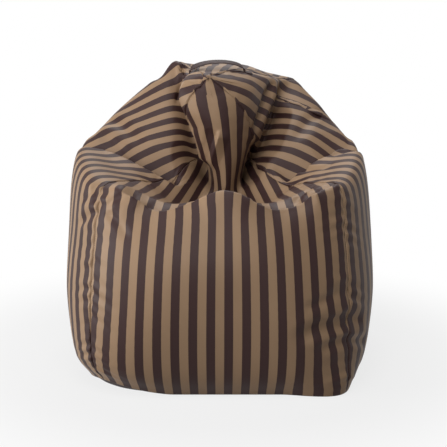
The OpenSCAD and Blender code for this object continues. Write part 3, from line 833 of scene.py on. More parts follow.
class Cloth:
    """The cover's cloth while it settles on the form: four panels side by side in one grid."""

    def __init__(self, form, across, along):
        self.form, self.across, self.along = form, across, along
        columns = np.arange(4 * across) / across * Form.COLUMNS
        rows = np.interp(row_lengths(along + 1), RING_LENGTHS, np.arange(form.rows))
        self.a = np.repeat(columns[None], along + 1, 0)
        self.b = np.repeat(rows[:, None], 4 * across, 1)
        self.points = form.at(self.a, self.b)

    def cut_lengths(self):
        """Cut distances of neighbours: beside, above, and along the two diagonals of a cell."""
        v = row_lengths(self.along + 1)
        half = half_width_at(v)
        u = np.linspace(-1, 1, self.across + 1)[None] * half[:, None]
        dv = np.diff(v)[:, None]
        beside = np.repeat(2 * half[:, None] / self.across, 4 * self.across, 1)
        above, rising, falling = (np.tile(np.hypot(du, dv), (1, 4)) for du in (
            u[1:, :-1] - u[:-1, :-1], u[1:, 1:] - u[:-1, :-1], u[1:, :-1] - u[:-1, 1:]))
        return beside, above, rising, falling

    def settle(self, rounds, hold):
        """Pulls the cloth to its cut size, and along its normal back to the form."""
        beside, above, rising, falling = self.cut_lengths()
        x = self.points
        hem, tip = x[0].copy(), x[-1].copy()
        stretch, shrink = 0.9, 0.5
        slant, smooth, floor = 0.7, 0.05, 0.002
        pairs = []
        for odd in (0, 1):
            low = slice(odd, odd + (self.along - odd) // 2 * 2, 2)
            pairs.append((low, slice(low.start + 1, low.stop + 1, 2)))
        for turn in range(rounds):
            if turn % 2 == 0:
                self.return_to_form(hold)
            x = self.points
            for odd in (0, 1):
                x = np.roll(x, -odd, 1)
                pull(x[:-1, 0::2], x[:-1, 1::2], beside[:-1, 0::2], stretch, shrink)
                x = np.roll(x, odd, 1)
            for low, high in pairs:
                pull(x[low], x[high], above[low], stretch, shrink)
            for low, high in pairs:
                beside_it = np.roll(x, -1, 1)
                moved = beside_it[high].copy()
                pull(x[low], moved, rising[low], slant * stretch, slant * shrink)
                x[high] += np.roll(moved - beside_it[high], 1, 1)
                beside_it = np.roll(x, -1, 1)
                moved = beside_it[low].copy()
                pull(moved, x[high], falling[low], slant * stretch, slant * shrink)
                x[low] += np.roll(moved - beside_it[low], 1, 1)
            x[1:-1] += smooth * (0.5 * (np.roll(x, 1, 1) + np.roll(x, -1, 1)) - x)[1:-1]
            x[1:-1] += smooth * (0.5 * (x[2:] + x[:-2]) - x[1:-1])
            x[..., 2] = np.maximum(x[..., 2], floor)
            x[0], x[-1] = hem, tip
            self.points = x

    def return_to_form(self, hold, seam_hold=0.05):
        """Finds each point's place on the form anew, and moves it there along the normal only."""
        side, up = self.form.tangents(self.a, self.b)
        off = self.points - self.form.at(self.a, self.b)
        ss, uu, su = (side * side).sum(-1) + 1e-10, (up * up).sum(-1) + 1e-8, (side * up).sum(-1)
        so, uo = (off * side).sum(-1), (off * up).sum(-1)
        size = np.maximum(ss * uu - su * su, 0.02 * ss * uu)
        most_across, most_up, share = 0.05 * Form.COLUMNS, 0.2, 0.7
        da = np.clip((so * uu - uo * su) / size, -most_across, most_across)
        db = np.clip((uo * ss - so * su) / size, -most_up, most_up)
        self.a = self.a + share * da
        self.b = np.clip(self.b + share * db, 0, self.form.rows - 1.02)
        rest = off - side * da[..., None] - up * db[..., None]
        self.points[1:-1] -= hold * rest[1:-1]
        seams = np.arange(4) * self.across
        seam_columns = np.arange(4.0) * Form.COLUMNS + 0 * self.b[:, seams]
        goal = self.form.at(seam_columns, self.b[:, seams])
        self.points[1:-1, seams] += seam_hold * (goal - self.points[:, seams])[1:-1]

    def refine(self, times):
        """Adds rows and columns between the present ones."""
        around = self.points.shape[1]
        places = np.arange(times * around) / times
        rows = np.arange(times * self.along + 1) / times
        by_column = spline(self.points.transpose(1, 0, 2), places, True).transpose(1, 0, 2)
        self.points = spline(by_column, rows, False)
        self.a, self.b = (self.between(field, places, rows) for field in (self.a, self.b))
        self.across, self.along = times * self.across, times * self.along

    def between(self, field, places, rows):
        whole = np.concatenate([field, field[:, :1] + (field is self.a) * self.form.columns], 1)
        i, j = np.floor(places).astype(int), np.minimum(np.floor(rows).astype(int), len(field) - 2)
        f, g = places - i, (rows - j)[:, None]
        wide = whole[:, i] * (1 - f) + whole[:, i + 1] * f
        return wide[j] * (1 - g) + wide[j + 1] * g


@functools.cache
def settled_cloth():
    """The cover's cloth, settled on the form from a coarse grid to a fine one."""
    cloth = Cloth(Form(), COARSE_ACROSS, COARSE_ALONG)
    for rounds, hold in SETTLING[:-1]:
        cloth.settle(rounds, hold)
        cloth.refine(2)
    cloth.settle(*SETTLING[-1])
    cloth.settle(FINISHING_ROUNDS, FINISHING_HOLD)
    cloth.refine(3)
    for strokes, stroke in ((DRAWN, draw_to), (GRABS, grab), (PUSHES, push), (FOLDS, fold)):
        for settings in strokes:
            cloth.points = stroke(cloth.points, *settings)
    cloth.points = flat_for_zip(sewn(cloth))
    return cloth


def row_lengths(rows):
    """The length along a panel, from its hem, of each row of a grid."""
    return np.linspace(0, sizes().length, rows)


def sewn(cloth):
    """The cloth with its seams pulled in, and puckers beside them that die away."""
    ditch_reach, clear_reach = 0.003, 0.014
    pucker, pucker_reach, sway = 0.0040, 0.065, 0.0024
    calm_at_hem, calm_at_tip = 0.06, 0.05
    rim, rim_fade, above_rim = 0.62, 0.06, 0.65
    x, out = cloth.points, grid_normals(cloth.points)
    v = row_lengths(cloth.along + 1)
    beside = (np.arange(4 * cloth.across) + cloth.across // 2) % cloth.across - cloth.across // 2
    side = np.sign(beside)[None]
    flat = np.abs(beside)[None] * (2 * half_width_at(v) / cloth.across)[:, None]
    narrow = np.exp(-(flat / ditch_reach) ** 2)
    which = np.round(np.arange(4 * cloth.across) / cloth.across)[None]
    # waves of several lengths, in metres along the seam, that differ from seam to seam
    up = 2 * math.pi * (v[:, None] + 0.25 * flat * (1 + 0.5 * side))
    swell = 0.5 + 0.5 * np.sin(up / 0.27 + 1.3 * which)
    wave = (0.6 * np.sin(up / 0.055 + which + 1.5 * np.sin(up / 0.19 + 2 * which))
            + 0.4 * np.sin(up / 0.034 + 2 * which + side))
    sideways = np.sin(up / 0.048 + 2.1 * which + np.sin(up / 0.13))
    calm = eased(v / calm_at_hem)[:, None] * eased((sizes().length - v) / calm_at_tip)[:, None]
    near = np.exp(-(flat / pucker_reach) ** 1.5) * (0.4 + 0.6 * swell)
    high = eased((v[:, None] - rim) / rim_fade)
    size = calm * near * (1 - above_rim * high)
    across = np.roll(x, -1, 1) - np.roll(x, 1, 1)
    across /= np.maximum(np.linalg.norm(across, axis=-1, keepdims=True), 1e-9)
    clear = 1 - np.exp(-(flat / clear_reach) ** 2)
    x = x + (pucker * size * (1 - narrow) * wave)[..., None] * out
    x = x + (sway * size * clear * sideways)[..., None] * across
    return x - (sizes().seam_ditch * calm * narrow)[..., None] * out


def zip_frame():
    """The cover zip's middle on the tapes' inner face, the way up along it, and the way out."""
    up = Vector(joint("pull_swing")["axis"]).normalized()
    out = Vector((0, up.z, -up.y))
    tape = corners_of("zip_tape_upper") + corners_of("zip_tape_lower")
    middle = sum(tape, Vector()) / len(tape)
    return middle + (span(tape, out)[0] - middle.dot(out)) * out, up, out


def flat_for_zip(x):
    """The cover laid flat just under the zip's tapes."""
    middle, up, out = (np.array(vector) for vector in zip_frame())
    off = x - middle
    reach_x, reach_up, soft, gap = 0.205, 0.016, 0.035, 0.0002
    at_back = off[..., 1] > -0.1
    weight = (eased((reach_x + soft - np.abs(off[..., 0])) / soft)
              * eased((reach_up + soft - np.abs(off @ up)) / soft) * at_back)
    return x - (weight * (off @ out + gap))[..., None] * out


@functools.cache
def cover_tree():
    """The cover's face, for finding the nearest place on it."""
    mesh = sheet_mesh("face", closed_round(settled_cloth().points))
    built = bmesh.new()
    built.from_mesh(mesh)
    tree = BVHTree.FromBMesh(built)
    built.free()
    bpy.data.meshes.remove(mesh)
    return tree


def too_near(place, depth):
    """Whether a place is outside the cover, or inside but less than `depth` from its face.

    It counts as outside if it looks outside along any one of four rays."""
    _, _, _, gap = cover_tree().find_nearest(place)
    if gap < depth:
        return True
    for way in ((0.03, -0.02, 1.0), (0.02, 1.0, 0.05), (1.0, 0.03, 0.04), (-1.0, 0.02, 0.05)):
        way = Vector(way)
        crossings, start = 0, place
        while True:
            hit = cover_tree().ray_cast(start, way)[0]
            if hit is None:
                break
            crossings += 1
            start = hit + 1e-5 * way
        if crossings % 2 == 0:
            return True
    return False


def drawn_in(x, depth):
    """A closed grid drawn inwards until every part of it is at least `depth` inside the cover."""
    x = x.copy()
    rows, columns = x.shape[:2]
    core, pace, most_rounds, floor = np.array((-0.02, 0.12, 0.35)), 0.010, 8, 0.005
    fresh = np.ones((rows, columns), bool)
    fresh[0] = False
    for _ in range(most_rounds):
        moved = np.zeros((rows, columns), bool)
        for j, i in zip(*np.nonzero(fresh)):
            after = (i + 1) % columns
            for places in (((j, i),), ((j, i), (j, after)), ((j, i), (j - 1, i)),
                           ((j, i), (j, after), (j - 1, i), (j - 1, after))):
                if too_near(Vector(sum(x[place] for place in places) / len(places)), depth):
                    for place in places:
                        moved[place] = True
        step = core - x
        step /= np.linalg.norm(step, axis=-1, keepdims=True)
        x[moved] += pace * step[moved]
        x[..., 2] = np.maximum(x[..., 2], floor)
        fresh = moved | np.roll(moved, 1, 1) | np.roll(moved, -1, 1)
        fresh[1:] |= moved[:-1]
        fresh[:-1] |= moved[1:]
        fresh[0] = False
        if not moved.any():
            break
    return x


@functools.cache
def lining_points():
    """A coarse copy of the settled cloth inside it for the liner, and one for the beads.

    Above the rim it is smoothed until it no longer follows the folds of the crown."""
    coarser, rounds, everywhere, rim = 4, 160, 8, 0.66
    between, bead_depth = 0.003, 1.7 * sizes().lining
    x = settled_cloth().points[::coarser, ::coarser].copy()
    x -= sizes().lining * grid_normals(x)
    v = row_lengths(len(x))
    ease = 0.4 * (0.15 + 0.85 * eased((v - rim) / 0.2))[1:-1, None, None]
    for turn in range(rounds):
        share = ease if turn < everywhere else ease * (v > rim)[1:-1, None, None]
        x[-1] = x[-2].mean(0)
        x[1:-1] += share * ((np.roll(x, 1, 1) + np.roll(x, -1, 1)) / 2 - x)[1:-1]
        x[1:-1] += share * ((x[2:] + x[:-2]) / 2 - x[1:-1])
    liner = drawn_in(x, sizes().lining)
    return liner, drawn_in(liner - between * grid_normals(liner), bead_depth)


# ---------------------------------------------------------------- meshes

@contextlib.contextmanager
def editing(mesh, start=None):
    """A bmesh that starts as a mesh, its own or another, and is written to it at the end."""
    built = bmesh.new()
    built.from_mesh(mesh if start is None else start)
    yield built
    built.to_mesh(mesh)
    built.free()


def closed_round(x):
    """A grid with its first column again as its last."""
    return np.concatenate([x, x[:, :1]], 1)


def sheet_mesh(name, points, cut=None):
    """A mesh of quads through a grid of points, with the flat cloth as its UV map."""
    rows, columns = points.shape[:2]
    if cut is None:
        cut = np.zeros((rows, columns, 2))
    mesh = bpy.data.meshes.new(name)
    with editing(mesh) as built:
        bmesh.ops.create_grid(built, x_segments=columns - 1, y_segments=rows - 1, size=1)
    mesh.vertices.foreach_set("co", points.astype(np.float32).ravel())
    corners = np.zeros(len(mesh.loops), int)
    mesh.loops.foreach_get("vertex_index", corners)
    mesh.uv_layers.new(name="cut")
    mesh.uv_layers["cut"].data.foreach_set("uv", cut.reshape(-1, 2)[corners].astype(np.float32).ravel())
    mesh.update()
    return mesh


def disc_mesh(name, ring, rise):
    """A cloth disc hung in a closed ring of points and flat, `rise` over the floor, inside it."""
    steps, crowding, drop = 33, 1.6, 0.07
    middle = np.array((0.0, 0.0, rise))
    laid = np.concatenate([ring, ring[:1]])[::-1]
    rows = []
    for share in np.linspace(0, 1, steps) ** crowding:
        row = laid * (1 - share) + middle * share
        row[:, 2] = rise + (laid[:, 2] - rise) * (1 - eased(share / drop))
        rows.append(row)
    return closed_up(sheet_mesh(name, np.array(rows)))


def closed_up(mesh, caps=False):
    """Joins a mesh's matching edges, and fills its open ends."""
    with editing(mesh) as built:
        bmesh.ops.remove_doubles(built, verts=built.verts, dist=1e-6)
        if caps:
            bmesh.ops.holes_fill(built, edges=built.edges, sides=0)
        bmesh.ops.dissolve_degenerate(built, edges=built.edges, dist=1e-7)
    return mesh


def cut_slit(mesh, middle, along, across, half_length, half_width):
    """Cuts a rectangular slit through a sheet."""
    margin = 0.02
    with editing(mesh) as built:
        for way, half in ((along, half_length), (across, half_width)):
            for side in (-1, 1):
                near = [face for face in built.faces
                        if (face.calc_center_median() - middle).length < half_length + margin]
                edges = {edge for face in near for edge in face.edges}
                corners = {vert for face in near for vert in face.verts}
                bmesh.ops.bisect_plane(
                    built, geom=[*corners, *edges, *near], dist=1e-7,
                    plane_co=middle + side * half * way, plane_no=way)
        inside = []
        for face in built.faces:
            off = face.calc_center_median() - middle
            if (abs(off.dot(along)) < half_length and abs(off.dot(across)) < half_width
                    and off.length < half_length):
                inside.append(face)
        bmesh.ops.delete(built, geom=inside, context="FACES")
    return mesh


def refined(name, node, width, segments=2):
    """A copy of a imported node's mesh with its flat facets joined and its edges rounded."""
    flat, sharp = math.radians(1), math.radians(30)
    mesh = bpy.data.meshes.new(name)
    with editing(mesh, frame["nodes"][node].data) as built:
        bmesh.ops.remove_doubles(built, verts=built.verts, dist=1e-6)
        bmesh.ops.dissolve_limit(built, angle_limit=flat, verts=built.verts, edges=built.edges)
        edges = [edge for edge in built.edges
                 if edge.is_manifold and edge.calc_face_angle() > sharp]
        bmesh.ops.bevel(built, geom=edges, offset=width, segments=segments, profile=0.5,
                        affect="EDGES", clamp_overlap=True, material=-1)
    return mesh


def beaded(name, places, radii, segments=6, rings=4):
    """A mesh of small stretched balls: each place is (point, direction, way out)."""
    handful = 50
    ball = bpy.data.meshes.new("ball")
    with editing(ball) as built:
        bmesh.ops.create_uvsphere(built, u_segments=segments, v_segments=rings, radius=1)
    handfuls = []
    for start in range(0, len(places), handful):
        handfuls.append(bpy.data.meshes.new("handful"))
        with editing(handfuls[-1]) as built:
            for point, ahead, out in places[start:start + handful]:
                ahead = Vector(ahead).normalized()
                out = Vector(out)
                out = (out - out.dot(ahead) * ahead).normalized()
                turned = Matrix((ahead * radii[0], out.cross(ahead) * radii[1], out * radii[2]))
                matrix = Matrix.Translation(Vector(point)) @ turned.transposed().to_4x4()
                ball.transform(matrix)
                built.from_mesh(ball)
                ball.transform(matrix.inverted())
    mesh = bpy.data.meshes.new(name)
    with editing(mesh) as built:
        for part in handfuls:
            built.from_mesh(part)
    for spare in (ball, *handfuls):
        bpy.data.meshes.remove(spare)
    return mesh


def stitches_along(line, out, pitch):
    """Places for stitches at an even pitch along a line with its ways out."""
    steps = np.linalg.norm(np.diff(line, axis=0), axis=1)
    run = np.concatenate([[0], np.cumsum(steps)])
    stops = np.arange(pitch / 2, run[-1] - pitch / 2, pitch)

    def read(field, places):
        return np.stack([np.interp(places, run, field[:, k]) for k in range(3)], 1)

    at = read(line, stops)
    return list(zip(at, read(line, stops + pitch / 4) - at, read(out, stops)))


def stitching(name, places, body="bag"):
    """A piece of stitches."""
    s = sewing()
    mesh = beaded(name, places, (s.length / 2, s.thread / 2, s.thread / 2))
    return new_piece(name, mesh, sewing_thread(), body)


def cut_where_outside(mesh):
    """Cuts away the faces of a layer that would show where the cover folds deeply inwards."""
    least = 0.0015
    with editing(mesh) as built:
        outside = []
        for face in built.faces:
            corners = [vert.co for vert in face.verts]
            middles = [(a + b) / 2 for a, b in zip(corners, corners[1:] + corners[:1])]
            places = (face.calc_center_median(), *corners, *middles)
            if any(too_near(place, least) for place in places):
                outside.append(face)
        bmesh.ops.delete(built, geom=outside, context="FACES")
    return mesh


def linked(name, data):
    """A new object in the scene."""
    made = bpy.data.objects.new(name, data)
    bpy.context.scene.collection.objects.link(made)
    return made


def thicken(piece, thickness, offset=-1):
    wall = piece.modifiers.new("Cloth thickness", "SOLIDIFY")
    wall.thickness = thickness
    wall.offset = offset


def new_piece(name, mesh, material, body="bag", replaces=()):
    """Links a mesh as a piece that rides on a body."""
    piece = linked(name, mesh)
    mesh.materials.append(material)
    mesh.shade_smooth()
    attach(piece, body)
    if replaces:
        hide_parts(*replaces)
    return piece


# ---------------------------------------------------------------- operators

class BEANBAG_OT_cover(bpy.types.Operator):
    """Make the four striped panels of the cover"""

    bl_idname = "beanbag.cover"
    bl_label = "Cover panels"

    def execute(self, context):
        slit_half_length, slit_half_width = 0.185, 0.0037
        cloth = settled_cloth()
        v = row_lengths(cloth.along + 1)
        u = np.linspace(-1, 1, cloth.across + 1)[None] * half_width_at(v)[:, None]
        cut = np.stack([u, np.repeat(v[:, None], cloth.across + 1, 1)], -1)
        closed = closed_round(cloth.points)
        for number, node in enumerate(PANELS):
            first = number * cloth.across
            points = closed[:, first:first + cloth.across + 1]
            mesh = sheet_mesh("striped_" + node, points, cut)
            if node == "back_panel":
                middle, up, _ = zip_frame()
                cut_slit(mesh, middle, ACROSS, up, slit_half_length, slit_half_width)
            piece = new_piece(mesh.name, mesh, striped_leather(), "bag", [node])
            thicken(piece, sizes().cloth)
        return {"FINISHED"}


class BEANBAG_OT_seams(bpy.types.Operator):
    """Sew the four seams: a row of stitches on each side of each"""

    bl_idname = "beanbag.seams"
    bl_label = "Seams"

    def execute(self, context):
        above_hem, narrowest, clear = 0.01, sewing().from_seam / 8, 0.0002
        cloth = settled_cloth()
        x, out = cloth.points, grid_normals(cloth.points)
        v = row_lengths(cloth.along + 1)
        cell = 2 * half_width_at(v) / cloth.across
        rows = np.nonzero((cell > narrowest) & (v > above_hem))[0]
        count = x.shape[1]
        for number, name in enumerate(("front_left", "front_right", "back_right", "back_left")):
            places = []
            for side in (-1, 1):
                across = number * cloth.across + side * sewing().from_seam / cell[rows]
                low = np.floor(across).astype(int)
                part = (across - low)[:, None]
                line = x[rows, low % count] * (1 - part) + x[rows, (low + 1) % count] * part
                facing = out[rows, low % count]
                places += stitches_along(line + clear * facing, facing, sewing().pitch)
            stitching(name + "_seam_stitches", places)
        return {"FINISHED"}


class BEANBAG_OT_base(bpy.types.Operator):
    """Make the plain base cloth under the chair"""

    bl_idname = "beanbag.base"
    bl_label = "Base cloth"

    def execute(self, context):
        inside_hem = (0.998, 0.998, 1.0)
        mesh = disc_mesh("base_cloth", settled_cloth().points[0, ::3] * inside_hem, 0.0)
        piece = new_piece("base_cloth", mesh, plain_leather(), "bag", ["base_panel"])
        thicken(piece, sizes().base_cloth)
        return {"FINISHED"}


class BEANBAG_OT_filling(bpy.types.Operator):
    """Make the liner and the beads inside it"""

    bl_idname = "beanbag.filling"
    bl_label = "Liner and beads"

    def execute(self, context):
        rise, thickness, slit_half_length, slit_half_width = 0.0049, 0.0004, 0.15, 0.0027
        cloth = woven("liner cloth", tuple(colours().liner), 0.0006, 0.8)
        liner, beads = lining_points()
        for name, layer, material, slot, node in (
                ("liner_bag", liner, cloth, "liner_cloth", "liner_body"),
                ("packed_beads", beads, bead_foam(), "beads", "bead_fill")):
            mesh = cut_where_outside(sheet_mesh(name, closed_round(layer)))
            piece = new_piece(name, mesh, material, "bag", [node])
        floor = disc_mesh("liner_floor", liner[0], rise)
        cut_slit(floor, rise * UP, ACROSS, Vector((0, 1, 0)), slit_half_length, slit_half_width)
        piece = new_piece("liner_floor", floor, cloth, "bag", ["liner_base"])
        thicken(piece, thickness, offset=0)
        return {"FINISHED"}


class BEANBAG_OT_zips(bpy.types.Operator):
    """Make the coils, sliders, pull and tapes of the cover's and the liner's zips"""

    bl_idname = "beanbag.zips"
    bl_label = "Zips"

    def execute(self, context):
        middle, up, out = zip_frame()
        dark = moulded("dark nylon", tuple(colours().tape), 0.35)
        pale = moulded("pale nylon", (0.55, 0.54, 0.51), 0.4)
        for node, material, way_out in (
                ("zip_teeth_upper", dark, out), ("zip_teeth_lower", dark, out),
                ("liner_teeth_front", pale, -UP), ("liner_teeth_rear", pale, -UP)):
            self.coil(node, material, way_out)
        tape = woven("zip tape", tuple(colours().tape), 0.0009, 0.75)
        liner_tape = woven("liner tape", (0.62, 0.61, 0.58), 0.0008, 0.8)
        for node in ("zip_tape_upper", "zip_tape_lower"):
            self.dye(node, tape)
            self.tape_stitches(node, middle, up, out)
        for node in ("liner_tape_front", "liner_tape_rear"):
            self.dye(node, liner_tape)
        for node, body, material, slot, round_by in (
                ("zip_stops", "bag", dark, "zip_teeth", 0.0006),
                ("liner_stops", "bag", pale, "liner_teeth", 0.0004),
                ("zip_slider", "cover_zip_slider", antique_metal(), "zip_metal", 0.00035),
                ("zip_pull", "cover_zip_pull", antique_metal(), "zip_metal", 0.00035),
                ("liner_slider", "liner_zip_slider", antique_metal(), "zip_metal", 0.0002)):
            mesh = refined("finished_" + node, node, round_by)
            new_piece(mesh.name, mesh, material, body, [node])
        return {"FINISHED"}

    def dye(self, node, material):
        """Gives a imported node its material; its own mesh stays."""
        mesh = frame["nodes"][node].data
        mesh.materials.clear()
        mesh.materials.append(material)

    def coil(self, node, material, out):
        """One row of teeth as a coil of rounded turns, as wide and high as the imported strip."""
        pitch, slant, roundness = 0.002, 0.15, 0.47
        corners = corners_of(node)
        across = ACROSS.cross(out)
        ends, sides, faces = (span(corners, way) for way in (ACROSS, across, out))
        centre = across * sum(sides) / 2 + out * sum(faces) / 2
        places = []
        for step in range(int((ends[1] - ends[0]) / pitch)):
            x = ends[0] + (step + 0.5) * pitch
            places.append((centre + x * ACROSS, across + slant * ACROSS, out))
        radii = ((sides[1] - sides[0]) / 2, roundness * pitch, (faces[1] - faces[0]) / 2)
        mesh = beaded(node.replace("teeth", "coil"), places, radii, 8, 6)
        new_piece(mesh.name, mesh, material, "bag", [node])

    def tape_stitches(self, node, middle, up, out):
        """A row of stitches near a tape's outer edge."""
        inset, from_end, clear, pitch = 0.002, 0.003, 0.0002, 0.004
        corners = corners_of(node)
        outer = max((co.dot(up) - middle.dot(up) for co in corners), key=abs)
        length = max(co.x for co in corners) - from_end
        height = span(corners, out)[1] - middle.dot(out)
        x = np.linspace(-length, length, 80)
        off = (abs(outer) - inset) * math.copysign(1, outer)
        line = np.array(middle + off * up + (height + clear) * out) + x[:, None] * np.array(ACROSS)
        places = stitches_along(line, np.repeat(np.array(out)[None], len(x), 0), pitch)
        stitching(node + "_stitches", places)


class BEANBAG_OT_handle(bpy.types.Operator):
    """Make the carry handle: a stitched strap on two sewn pads"""

    bl_idname = "beanbag.handle"
    bl_label = "Carry handle"

    def execute(self, context):
        hinge = joint("handle_swing")
        along = Vector(hinge["axis"]).normalized()
        up = (UP - along.z * along).normalized()
        side = up.cross(along)
        low, high = span(corners_of("handle_loop"), along)
        pivot = Vector(hinge["pos_m"])
        middle = pivot + ((low + high) / 2 - pivot.dot(along)) * along
        self.strap(middle, along, up, side, (high - low) / 2)
        for which in ("left", "right"):
            self.pad(which)
        return {"FINISHED"}

    def strap(self, middle, along, up, side, half):
        """Sweeps the strap's rounded section along its arch, leaning to the front at the top."""
        s = strap_sizes()
        thick = s.thickness / 2
        steps, corners = 64, 20
        below, inset, lean_at_top, pitch, bare = 0.003, 0.003, math.radians(24), 0.0042, 6
        flat_sides, flat_faces = 0.35, 0.6
        turn = np.linspace(math.pi, 0, steps)
        run = np.stack([(half - thick) * np.cos(turn), (s.rise - thick) * np.sin(turn)], 1)
        run = np.concatenate([[(run[0, 0], -below)], run, [(run[-1, 0], -below)]])
        slope = np.gradient(run, axis=0)
        slope /= np.linalg.norm(slope, axis=1, keepdims=True)
        normal = np.stack([-slope[:, 1], slope[:, 0]], 1)
        share = eased(np.clip(run[:, 1] / s.taper, 0, 1))
        widths = s.pivot_width + (s.width - s.pivot_width) * share
        angle = np.linspace(0, 2 * math.pi, corners + 1)
        wide = np.sign(np.cos(angle)) * np.abs(np.cos(angle)) ** flat_sides
        high = np.sign(np.sin(angle)) * np.abs(np.sin(angle)) ** flat_faces
        axes = np.array([along, up, side])
        to_front = self.to_front(side)
        rows, facing, edges = [], [], {-1: [], 1: []}
        for at, off, width, lean in zip(run, normal, widths, lean_at_top * share):
            centre = np.array(middle) + at[0] * axes[0] + at[1] * axes[1]
            flat = off[0] * axes[0] + off[1] * axes[1]
            out = math.cos(lean) * flat + math.sin(lean) * axes[2] * to_front
            wide_way = math.cos(lean) * axes[2] - math.sin(lean) * flat * to_front
            rows.append(centre + 0.5 * width * wide[:, None] * wide_way + thick * high[:, None] * out)
            facing.append(out)
            for edge in edges:
                edges[edge].append(centre + edge * (0.5 * width - inset) * wide_way + thick * out)
        mesh = closed_up(sheet_mesh("handle_strap", np.array(rows)), caps=True)
        with editing(mesh) as built:
            bmesh.ops.recalc_face_normals(built, faces=built.faces)
        new_piece(mesh.name, mesh, plain_leather(), "carry_handle", ["handle_loop"])
        places = []
        for edge in edges.values():
            places += stitches_along(np.array(edge)[bare:-bare], np.array(facing)[bare:-bare], pitch)
        stitching("handle_strap_stitches", places, "carry_handle")

    def to_front(self, side):
        """1 if a direction points to the front, -1 if it points to the back."""
        return -math.copysign(1.0, side[1])

    def pad(self, which):
        """A sewn pad, with stitches round its top a little way in from its corners."""
        thickness, level, inset, clear, pitch = 0.0023, 0.0001, 0.0045, 0.0001, 0.0042
        node = "handle_tab_" + which
        mesh = refined("handle_pad_" + which, node, 0.0007, 3)
        new_piece(mesh.name, mesh, plain_leather(), "bag", [node])
        largest = max(frame["nodes"][node].data.polygons, key=lambda polygon: polygon.area)
        normal = largest.normal.copy()
        if normal.z < 0:
            normal = -normal
        corners = corners_of(node)
        lowest = span(corners, normal)[0]
        low = [co for co in corners if lowest + thickness > co.dot(normal)]
        top = span(low, normal)[1]
        flat = [co for co in low if co.dot(normal) > top - level]
        middle = sum(flat, Vector()) / len(flat)
        ahead = (flat[0] - middle).normalized()
        aside = normal.cross(ahead)
        around = [co + (middle - co).normalized() * inset for co in flat]
        around.sort(key=lambda co: math.atan2((co - middle).dot(aside), (co - middle).dot(ahead)))
        line = np.array(around + around[:1]) + clear * np.array(normal)
        places = stitches_along(line, np.repeat(np.array(normal)[None], len(line), 0), pitch)
        stitching(node + "_stitches", places)


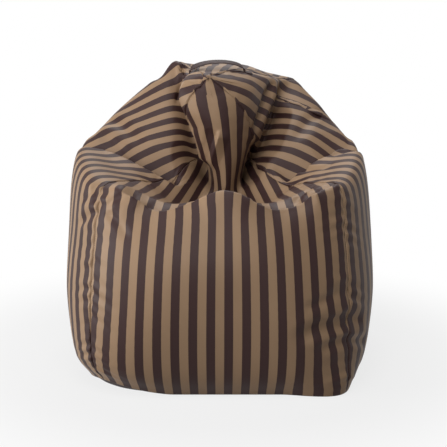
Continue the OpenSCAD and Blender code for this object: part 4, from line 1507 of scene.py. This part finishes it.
class BEANBAG_OT_stage(bpy.types.Operator):
    """Set up the floor, the lamps and the camera"""

    bl_idname = "beanbag.stage"
    bl_label = "Stage"

    def execute(self, context):
        self.floor()
        self.lamps()
        self.camera(context.scene.bean_bag_stage)
        context.scene.view_settings.view_transform = "Standard"
        return {"FINISHED"}

    def floor(self):
        """A floor that takes shadows near the chair and is white beyond."""
        near, far, near_white = 0.6, 1.3, 0.8
        mesh = bpy.data.meshes.new("floor")
        with editing(mesh) as built:
            bmesh.ops.create_grid(built, x_segments=1, y_segments=1, size=8)
        floor = linked("floor", mesh)
        made = Finish("floor", Roughness=0.9, Specular_IOR_Level=0.0)
        made.set("Base Color", (0.4, 0.4, 0.4, 1))
        seen = made.seen()
        away = made.node("ShaderNodeVectorMath", {"operation": "LENGTH"}, {0: made.place()}, output=1)
        share = made.node("ShaderNodeMapRange", {"interpolation_type": "SMOOTHSTEP"}, {
            "Value": away, "From Min": near, "From Max": far, "To Min": near_white, "To Max": 1.0})
        white = made.node("ShaderNodeEmission", None, {"Color": WHITE})
        mixed = made.node("ShaderNodeMixShader", None, {
            0: seen * share, 1: Value(made, made.shader.outputs[0]), 2: white})
        made.feed(made.tree.nodes["Material Output"].inputs["Surface"], mixed)
        mesh.materials.append(made.material)

    def lamps(self):
        """A white world that lights the chair only faintly, and the lamps."""
        dim = 0.06
        world = bpy.context.scene.world or bpy.data.worlds.new("studio")
        bpy.context.scene.world = world
        world.use_nodes = True
        world.node_tree.nodes.clear()
        made = Nodes(world.node_tree)
        light = made.node("ShaderNodeBackground", None, {"Color": WHITE, "Strength": dim})
        shown = made.node("ShaderNodeBackground", None, {"Color": WHITE})
        mixed = made.node("ShaderNodeMixShader", None, {0: made.seen(), 1: light, 2: shown})
        made.feed(made.tree.nodes.new("ShaderNodeOutputWorld").inputs["Surface"], mixed)
        for settings in LAMPS:
            self.lamp(*settings)

    def lamp(self, name, place, power, size, target, spread):
        data = bpy.data.lights.new(name, "AREA")
        data.energy = power
        data.shape = "DISK"
        data.size = size
        data.spread = math.radians(spread)
        lamp = linked(name, data)
        lamp.location = place
        lamp.rotation_euler = (Vector(target) - lamp.location).to_track_quat("-Z", "Y").to_euler()

    def camera(self, stage):
        data = bpy.data.cameras.new("camera")
        data.lens = stage.lens
        data.sensor_width = 36
        camera = linked("camera", data)
        back = Vector((0, -math.cos(stage.elevation), math.sin(stage.elevation)))
        camera.location = Vector(stage.target) + back * stage.distance
        camera.rotation_euler = (-back).to_track_quat("-Z", "Y").to_euler()
        bpy.context.scene.camera = camera


class BEANBAG_PT_panel(bpy.types.Panel):
    """The chair's operators"""

    bl_idname = "BEANBAG_PT_panel"
    bl_label = "Bean bag"
    bl_space_type = "VIEW_3D"
    bl_region_type = "UI"
    bl_category = "Bean bag"

    def draw(self, context):
        for operator in OPERATORS:
            self.layout.operator(operator.bl_idname)


OPERATORS = (BEANBAG_OT_stage, BEANBAG_OT_cover, BEANBAG_OT_seams, BEANBAG_OT_base,
             BEANBAG_OT_filling, BEANBAG_OT_zips, BEANBAG_OT_handle)
SETTINGS = {
    "bean_bag_sizes": CoverSizes,
    "bean_bag_sewing": SewingSizes,
    "bean_bag_strap": StrapSizes,
    "bean_bag_colours": CoverColours,
    "bean_bag_stage": StageSettings,
}
CLASSES = (*SETTINGS.values(), *OPERATORS, BEANBAG_PT_panel)


def register():
    for cls in CLASSES:
        bpy.utils.register_class(cls)
    for name, cls in SETTINGS.items():
        setattr(bpy.types.Scene, name, PointerProperty(type=cls))


def unregister():
    for name in SETTINGS:
        delattr(bpy.types.Scene, name)
    for cls in reversed(CLASSES):
        bpy.utils.unregister_class(cls)


def main():
    """Registers the chair's operators and runs them in order."""
    register()
    for operator in OPERATORS:
        group, name = operator.bl_idname.split(".")
        getattr(getattr(bpy.ops, group), name)()


if __name__ == "__main__":
    main()
